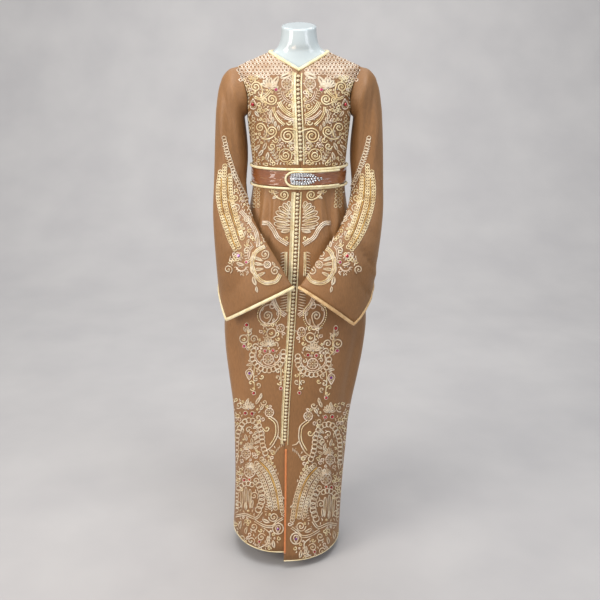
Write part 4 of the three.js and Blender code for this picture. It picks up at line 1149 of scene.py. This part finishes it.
# Each row: motif, outward, depth, size, turn.
stitch([
    (scroll, 42.5, 87, 5.3, 190), (spray, 29.5, 88.5, 10.5, -105), (leaf, 18, 78, 13, 197), (leaf, 27, 86, 12, 228),
    (rosette, 11.5, 84, 5.4), (leaf, 10.5, 90, 5, 35), (stone, 22.5, 89.8, 6.0, "pink"), (comb, 5, 91, 12.5, 0, 90),
    (spiral, 9.5, 106.3, 3.4), (spiral, 10, 122.5, 3), (scroll, 12, 135.8, 7.6, 250), (leaf, 6, 143, 6, 0),
    (scroll, 28, 131.2, 5.2, 120), (scroll, 39, 127.5, 4.6, 200), (spiral, 24, 140, 3), (ring, 14.8, 155.3, 6.4),
    (spiral, 14.8, 155.3, 4.6), (leaf_line, 25.5, 155, 7, -60), (spiral, 28, 146.1, 3.8), (leaf, 46, 150, 8, 215),
    (leaf, 42, 156, 8, 225), (leaf, 37, 150, 8, 240), (leaf, 34, 160, 8, 250), (drop, 45.5, 104.5, 4.6, 90, "red"),
    (leaf, 44, 111, 7, 120), (leaf, 48, 111, 6, 60), (scroll, 27, 99.5, 5.2, 60), (spiral, 34.5, 99.7, 3.4),
    (leaf, 27, 109, 6.5, 70), (leaf, 28, 113, 6.5, 75), (leaf, 26.5, 117, 6.5, 80), (leaf, 24, 121, 6, 85),
    (leaf, 21, 125, 6, 90),
])
rope([(20, 102), (17.5, 107), (13, 112), (5.5, 116.5)], 3)
rope([(22, 110.5), (18, 115), (12, 118.5), (5.5, 120)], 2, thread="silver")
rope([(25.5, 107), (24.5, 113), (21, 119.5), (15, 125)], 2)
rope([(44, 97), (38, 99), (31, 94), (27.5, 89.5)], 2)
chain([(46, 119), (46.5, 133), (46.8, 147), (47, 162)], 1.5, 3.6)
string([(5.5, 96), (6, 112), (5.2, 130), (5.2, 160)], 2.6, 1.3)
fill([(4.6, 76), (14, 72), (26, 77), (56, 77), (54, 110), (51, 140), (52, 166), (4.2, 166)], 3.4)
sew("front", FRONTS)

# ---- Upper skirt embroidery ----
# Below the belt: a scroll with two leaves, a palmette of corded lobes, an ogee of three cords and
# a comb. The gathered cloth beside them is left bare.
stitch([
    (scroll, 13.6, 195, 5.0, 60), (leaf, 19.5, 193, 7, -15), (leaf, 19.5, 196, 6, 20), (spiral, 26, 190.5, 2.4),
    (lobe, 6, 225, 22, 223.5, 4.0), (lobe, 6, 221.5, 22.6, 217.8, 4.2), (lobe, 6, 218, 20.8, 211.8, 4.2),
    (lobe, 6.2, 214.6, 17.8, 207, 4.0), (lobe, 6.4, 211.4, 13.6, 203.6, 3.6), (lobe, 6.4, 208.4, 8.8, 201.4, 3.2),
    (spiral, 9.5, 238, 2.9), (leaf, 6, 231, 9, 0), (ring, 22.8, 314, 9.6, 3.4, "silver"), (drop, 20.4, 305, 3.4, 90),
    (scroll, 24.4, 315.4, 4.6, 150, "cream"), (leaf, 30.5, 311, 4.5, 250), (leaf, 15.5, 312, 4.5, 110),
    (leaf, 17.5, 318, 4.5, 70),
])
pearls = [(22.8 + 11.6 * math.cos(math.radians(a)), 314 + 11.6 * math.sin(math.radians(a)))
          for a in range(-60, 241, 20)]
string(pearls, 4.4, 1.7)
rope([(5.5, 228.6), (12, 228.6), (19, 227.6)], 2, thread="cream")
rope([(34, 223), (27.6, 223.6), (22.4, 229.6), (17.4, 238), (7.6, 244.4)], 3, thread="silver", middle="cream")
rope([(9.5, 252), (9.6, 264), (9.5, 276)], 2)
teeth([(10.8, 252), (10.8, 276)], 4.5, 20, 3.0)
rope([(21, 293), (19.5, 300), (14.5, 309), (6.5, 315.5)], 3, thread="silver")
teeth([(5.4, 291), (5.4, 310)], 7.5, 12, 2.6)
for x in (38.5, 42.5):
    chain([(x, 187), (x + 0.5, 196), (x, 206)], 1.5, 3.7)
fill([(37, 186), (46, 186), (46, 209), (40, 209)])
sew("front", FRONTS)

# ---- Middle skirt embroidery ----
# On each side a wreath of scalloped cord round a flower, with a wing of curls that climbs outward and
# two sprays of curls that hang from it, each ending in a stone.
stitch([
    (stone, 44.4, 324.8, 6.5, "red"), (leaf, 43.9, 331, 5.5, 250), (leaf, 43, 332, 5.5, 215),
    (leaf, 45, 332, 5.5, 290), (spiral, 41.4, 332.4, 3.0, 30, "cream"), (ring, 46.6, 338.8, 4.0, 4.2, "cream"),
    (spiral, 46.4, 338.8, 2.0), (spiral, 36.8, 338.8, 4.0, 160, "cream"), (spiral, 41.2, 344.6, 2.8, 60),
    (spiral, 35.4, 346.4, 3.2, 200, "cream"), (stone, 46.4, 346, 6, "pink"), (leaf, 42, 350.5, 5, 300),
    (rosette, 10.4, 328, 3.8, 6), (leaf, 5.6, 327, 4, 180), (ring, 19.3, 332.8, 4.6, 4.4, "cream"),
    (spiral, 19.3, 332.8, 2.0), (spiral, 14.0, 333.5, 2.4, 90), (spiral, 25, 335.6, 2.8, 20, "cream"),
    (spray, 22.4, 346.4, 8.4, -90), (spiral, 29.6, 344, 3.0, 40, "cream"), (spiral, 15.2, 344.4, 3.0, 140, "cream"),
    (spiral, 12.6, 338.6, 2.4), (stone, 25.6, 350.8, 6, "red"), (stone, 17.4, 350.4, 6, "red"),
    (rosette, 22.2, 359, 5.2), (spiral, 30.4, 355.8, 2.6, 200, "cream"), (spiral, 13.8, 356, 2.6, 300, "cream"),
    (leaf, 30.2, 361.5, 4.5, 120), (leaf, 14.4, 361.5, 4.5, 60), (leaf, 37.5, 364.6, 6.5, 0),
    (leaf, 38, 362.6, 5, -35), (leaf, 38, 366.6, 5, 30), (drop, 40.8, 374, 4.8, -90), (stone, 40.6, 373, 6, "purple"),
    (spiral, 32.4, 371.2, 3.0, 90, "cream"), (spiral, 28.4, 376.6, 2.6, 30), (spiral, 33.8, 378.8, 3.2, 250, "cream"),
    (spiral, 39, 383, 2.6, 180), (spiral, 31.8, 385, 2.8, 90, "cream"), (spiral, 37, 388.6, 2.4, 0),
    (stone, 36, 393, 6, "red"), (spiral, 12, 371, 3.0, 200, "cream"), (spiral, 5.8, 370.6, 2.4, 320),
    (spiral, 12.8, 377.6, 2.8, 120, "cream"), (spiral, 6.6, 377.2, 2.8, 60, "cream"), (spiral, 10.2, 383, 2.4, 0),
    (stone, 9.2, 388.2, 5.5, "red"), (leaf, 30.3, 400, 7, 250),
])
wreath = [(36.8, 350.8), (38.4, 357), (34.6, 364.2), (28, 369), (20.4, 370), (12.6, 366.4), (7.4, 359.4), (7.2, 351.8)]
chain(wreath, 2.5, 4.3, "cream", 3.8)
draw([(34, 351.6), (34.6, 357), (31, 362.4), (26, 365.6), (20.6, 366), (14.6, 363.2), (10.8, 358), (10.6, 352)], 3.0,
    "silver")
draw([(38.4, 352), (42.6, 345.6), (41.6, 338.2), (43.6, 329.4)], 3.4)
draw([(35.6, 366), (36.4, 376), (35.2, 390)], 3.2)
draw([(9.6, 363.6), (9.4, 374), (9, 385)], 3.0)
fill([(29, 325), (8, 322), (7, 334), (11, 346), (10, 356), (16, 364), (28, 364), (33, 356), (33, 344)], 3.4)
sew("front", FRONTS)

# ---- Lower skirt embroidery ----
# A deep border on both sides of the front slit: crowns of leaves, a scalloped line, an arched band,
# and large paisley bands of ringed cord and beads with an amber satin stripe, over a ground of curls and beads.
stitch([
    (spiral, 50, 405.2, 3.4, 60, "cream"), (spiral, 46.4, 401.4, 2.4), (leaf, 42.9, 406, 8, 250),
    (spray, 40.3, 409, 7.5, -90), (leaf, 33, 404, 8, 240), (spiral, 24.6, 402.2, 3.4, 0, "cream"),
    (spiral, 30.6, 417.6, 3.2, 80, "cream"), (leaf, 28.9, 410, 7, 230), (rosette, 19.3, 412.4, 4.2),
    (stone, 43.2, 413, 6.4, "red"), (stone, 36.4, 413.4, 6.4, "red"), (spiral, 21.6, 428.4, 3.2),
    (spiral, 29.2, 421, 2.4), (spiral, 39.6, 429.6, 3.2, 200, "cream"), (leaf, 45, 433, 7, 280),
    (leaf, 41.8, 441, 7, 275), (spiral, 34, 436.6, 3.4, 90, "cream"), (leaf, 36.8, 438, 7, 100),
    (rosette, 41.8, 453.6, 4.4), (spray, 39.7, 449, 6.5, -90), (leaf, 30.1, 426, 6, 20), (leaf, 29, 431, 6, 20),
    (leaf, 28.5, 436, 6, 20), (leaf, 28.4, 441, 6, 20), (leaf, 29.3, 446, 6, 25), (leaf, 19.2, 450, 6, 160),
    (spiral, 14.6, 452.4, 2.4), (leaf, 50.2, 455, 8, 80), (rosette, 37.9, 472, 5.2), (spray, 38, 468, 6, -90),
    (stone, 43.2, 480, 6, "red"), (stone, 38.2, 479.4, 5, "orange"), (spiral, 31.6, 480.6, 4.0, 40, "cream"),
    (spiral, 33.2, 495.6, 4.2, 140, "cream"), (spiral, 45.6, 489, 2.4), (leaf, 34.5, 500, 8, 80),
    (spiral, 49, 504.4, 3.6, 90, "cream"), (leaf, 41.3, 510, 8, 270), (spiral, 13.6, 516.8, 5.0, 0, "cream"),
    (leaf, 24.8, 519, 8, 150), (drop, 9, 528.6, 3.4, -90, "purple"), (ring, 9, 528.4, 5.4, 4.2, "cream"),
    (spiral, 33, 526.6, 4.0, 30, "cream"), (leaf, 46.1, 521, 8, 80), (leaf, 40, 527, 7, 75), (leaf, 49, 531, 7, 60),
    (spiral, 25.4, 537.2, 4.2, 200, "cream"), (stone, 27.4, 541.5, 5, "red"), (leaf, 19, 536, 8, 95),
    (leaf, 14, 540, 8, 95), (spiral, 35.6, 540.6, 3.8, 120, "cream"), (spiral, 45, 538, 3.6, 60, "cream"),
    (leaf, 22, 546, 7, 200), (spiral, 26, 530, 2.4),
])
draw([(18.8, 416), (12.1, 421), (10.2, 428), (10.9, 436), (16.3, 446), (22.2, 451)], 4.2, "cream")
draw([(20.4, 417.4), (14.1, 422.5), (12.6, 429), (13.5, 436.5), (18.5, 445)], 3.6)
draw([(10.6, 435.8), (7.8, 439), (3.8, 440)], 4.0, "cream")
teeth([(4.4, 442.6), (8.7, 445.6), (12.8, 451)], 3.4, 85, 2.2)
chain([(51.6, 456), (51.4, 440), (48.4, 428), (42, 420.6), (32.7, 422), (27.2, 431), (25.6, 444), (22.6, 453)], 2.5,
    4.1,
      "cream", 3.5)
string([(52.4, 450), (52.5, 436), (49, 424.6), (42.7, 418.4)], 3.4, 1.5)
for path in ([(26.1, 459), (16.6, 469), (9.1, 487), (5, 511)],
             [(31.4, 463), (21.5, 474.5), (15, 491), (11.7, 508)],
             [(36, 465), (26.2, 477.5), (20, 493), (17, 507)]):
    chain(path, 2.0, 2.9, "cream", 2.9)
    string(path, 3.4, 2.9)
rope([(28.7, 461), (18.9, 472), (11.9, 489), (8.3, 509.6)], 1, width=6.6, thread="amber")
chain([(51, 510), (50.2, 491), (42.4, 483.4), (35.6, 484.4)], 2.3, 3.9, "cream", 3.4)
chain([(28.4, 485), (25.6, 493), (25.4, 501), (28.6, 509.4)], 3.0, 4.6, "cream", 3.8)
teeth([(22.2, 488), (20.9, 499), (22.9, 511)], 3.0, 165, 2.4, 3.4)
for x, top in [(45.1, 489), (41.1, 487), (37.1, 489)]:
    lobe(x, 508, x + 0.3, top, 2.4)
rope([(32.1, 520.5), (23.1, 525.4), (15.1, 526.4), (10.1, 522), (4.2, 518)], 2, 1.8, 3.4, "cream")
rope([(51.2, 516), (41.2, 514.6), (31.2, 518), (25.3, 512)], 2, 1.8, 3.4, "cream")
draw([(37, 545), (30, 548), (21, 544), (17, 534), (23, 528)], 3.8, "cream")
fill([(59.3, 400), (53.5, 399), (27.3, 400), (14.9, 408), (15.8, 414), (23.8, 418), (24.4, 440), (20.3, 449),
    (12.3, 446), (5.4, 441.5), (4.3, 444), (11.2, 452), (16.1, 458), (8.9, 475), (3.5, 495), (2.3, 512), (2, 530),
    (10, 546), (25, 556), (51, 548), (55.2, 520), (58.2, 450)], 3.9)
sew("front", FRONTS)

# ---- Sleeve embroidery ----
# On each sleeve, alike: a piped band along its inner edge, three ropes of ringed cord and beads with amber
# satin between them, and over the mouth a crown of leaflets and a crescent with spirals. The rest is left bare.
stitch([
    (scroll, 60.9, 198, 3.1, 100), (spiral, 59.8, 207.4, 4.2, 60, "cream"), (spiral, 48.6, 219.5, 4.6, 90, "cream"),
    (spiral, 46.4, 250.8, 3.6, 200, "cream"), (comb, 51.8, 266, 5.4, 10, 170), (spiral, 65, 269.4, 4.2, 120, "cream"),
    (leaf, 56.8, 263, 8, 160), (spiral, 18.6, 271, 4.6, 200, "cream"), (spiral, 28.4, 254.4, 4.8, 60, "cream"),
    (rosette, 26, 264.6, 3.4), (lobe, 30, 261, 38.4, 257.6, 2.2), (lobe, 30, 265, 38.8, 263.4, 2.2),
    (lobe, 30, 269, 38, 269.6, 2.2), (lobe, 28.6, 272.6, 35, 275.6, 2.2), (leaf, 21, 262, 5, 120),
    (leaf, 42.6, 266.4, 9, 110), (leaf, 40.4, 276.6, 9, 100), (leaf, 37.6, 286.4, 6, 95), (leaf, 55.1, 215, 6, 60),
    (leaf, 52.6, 223, 6, 65), (leaf, 49.4, 231, 6, 70), (leaf, 45.6, 239, 6, 75), (spiral, 47, 244.6, 2.4),
    (spiral, 54.3, 232, 2.2), (stone, 46.8, 262.2, 5, "pink"),
])
chain([(72.4, 138), (69.6, 150), (66.4, 160), (63.2, 170)], 1.9, 3.1, "cream", 2.9)
teeth([(74, 146), (71.4, 156), (68, 166)], 2.6, 150, 2.5)
chain([(62.4, 173), (56.4, 186), (46.2, 206), (36.4, 225), (29, 240)], 2.2, 3.5, "cream", 3.0)
rope([(64, 171), (54.2, 188), (43.6, 206.5), (34, 224.5), (26.8, 237)], 1, width=4.2, thread="cream")
for path in ([(75.6, 172), (77.6, 188), (76.6, 203), (72, 221), (64.6, 239), (58.4, 249)],
             [(71.2, 166), (71.8, 184), (70.6, 203), (65.8, 221), (59.4, 238), (54.6, 247)],
             [(66.2, 176), (64.8, 195), (61, 211), (57.4, 224), (52.4, 238)]):
    chain(path, 2.0, 2.9, "gold", 2.9)
    string(path, 3.2, 2.9)
rope([(74.4, 178), (74.2, 203), (69, 221), (62, 239), (56.4, 249)], 1, width=5.0, thread="amber")
rope([(68.4, 178), (67.4, 199), (62.2, 219), (56.4, 236)], 1, width=3.8, thread="amber")
rope([(55.2, 211), (46.6, 221), (39.2, 233), (35.4, 247)], 3, 1.5, 3.4, "silver", "cream")
rope([(46.3, 262.7), (40.6, 258), (39.7, 252)], 2, thread="cream")
rope([(29, 246.6), (37, 251.6), (40.8, 261), (39.8, 271), (34.6, 279.4), (27, 283), (18, 281), (13.6, 274.6)], 3, 1.5,
    3.6,
     "gold", "cream")
comb(33.6, 254, 11.5, -48, 30)
fill([(65.2, 173), (61.2, 172), (33.6, 222), (22.3, 242), (27.5, 247), (35.5, 248), (49.5, 250), (55.6, 222),
    (60.9, 198)], 3.4)
fill([(63.1, 257), (55.3, 252), (43, 256), (42.3, 264), (44.7, 276), (52.1, 276), (62.4, 268)], 2.9)
sew("sleeve", SLEEVES)
# The stones on the two sleeves are not of one colour.
for side, colour in [(-1, "purple"), (1, "red")]:
    stone(54, 256, 7.0, colour)
    sew("sleeve", SLEEVES, (side,))

# ---- Bead net on the shoulders ----
# Silver-gilt rings with a bead in each, set close over the shoulders and the tops of the sleeves.
YOKE = [(26, 50), (38, 52), (61, 64), (58, 81), (44, 79), (5, 73), (5, 71)]


def net(outline, pitch, size):
    """Rings in staggered rows inside an outline."""
    for j in range(int(30 / (pitch * 0.87)) + 1):
        for i in range(int(54 / pitch) + 1):
            x, v = 8 + pitch * (i + 0.5 * (j % 2)), 51 + pitch * 0.87 * j
            crossings = sum((av > v) != (bv > v) and x < ax + (bx - ax) * (v - av) / (bv - av)
                            for (ax, av), (bx, bv) in zip(outline, outline[1:] + outline[:1]))
            if crossings % 2:
                ring(x, v, size, 2.7, "silver")
                beads.append((x + pitch / 2, v, 2.8, "silver"))


for nodes_by_side in (FRONTS, SLEEVES):
    net(YOKE, 3.7, 1.45)
    sew("front", nodes_by_side)

# The cords of each kind and each cloth are one piece.
for (thread, node), store in thread_stores.items():
    piece_from(store, "embroidery_" + thread + "_" + node, THREADS[thread], "gold_braid")

# ---- Seed beads and set stones ----
# Round metal-lined seed beads of 3 to 4 mm, sewn on one by one, and cut glass stones of 8 to 11 mm in
# red, pink, orange and purple, each inside a ring of cord.
BEADS = {"gold": ("gold_lined_glass_bead", "#FAEDC4", "#DCC086"),
    "silver": ("silver_lined_glass_bead", "#FAF8F2", "#CFCBC0")}
bpy.ops.mesh.primitive_ico_sphere_add(subdivisions=1, radius=0.5)
seed = bpy.context.active_object
seed.name = "bead_pattern"
for kind, (name, light, dark) in BEADS.items():
    BEADS[kind], tree, shader = new_material(name)
    place = add_node(tree, "ShaderNodeTexCoord")
    mixed = noise(tree, place, 160.0, 2.0)
    paint(tree, shader, mixed.outputs["Fac"], [(0.35, dark), (0.6, light)])
    set_surface(shader, {"Metallic": 0.2, "Roughness": 0.18, "Coat Weight": 0.8})
for (kind, node), seats in bead_seats.items():
    store = new_store()
    copies_of(store, seed, seats)
    piece_from(store, "seed_beads_" + kind + "_" + node, BEADS[kind], "gold_braid")
bpy.data.objects.remove(seed)

cut = cut_pattern("stone_pattern", 0.5, 0.18)
for colour, light, dark in [("red", "#C4142F", "#7E0A1C"), ("pink", "#D9457C", "#8E1F4A"),
    ("orange", "#E2552A", "#A02F12"),
                            ("purple", "#8A3399", "#4B1656")]:
    glass, tree, shader = new_material(colour + "_cut_glass")
    place = add_node(tree, "ShaderNodeTexCoord")
    # Each stone's colour is painted in cells of light and dark: painted glints and shade on its facets, over its own
    # glass colour.
    painted_facet_glints = add_node(tree, "ShaderNodeTexVoronoi", inputs={"Vector": place.outputs["Object"], "Scale": 500.0})
    paint(tree, shader, painted_facet_glints.outputs["Color"], [(0.2, dark), (0.8, light)])
    set_surface(shader, {"Metallic": 0.25, "Roughness": 0.08, "Coat Weight": 1.0, "Coat Roughness": 0.03})
    if colour in stone_seats:
        store = new_store()
        copies_of(store, cut, stone_seats[colour])
        piece_from(store, "cut_stones_" + colour, glass, "crystal", smooth=False)
bpy.data.objects.remove(cut)
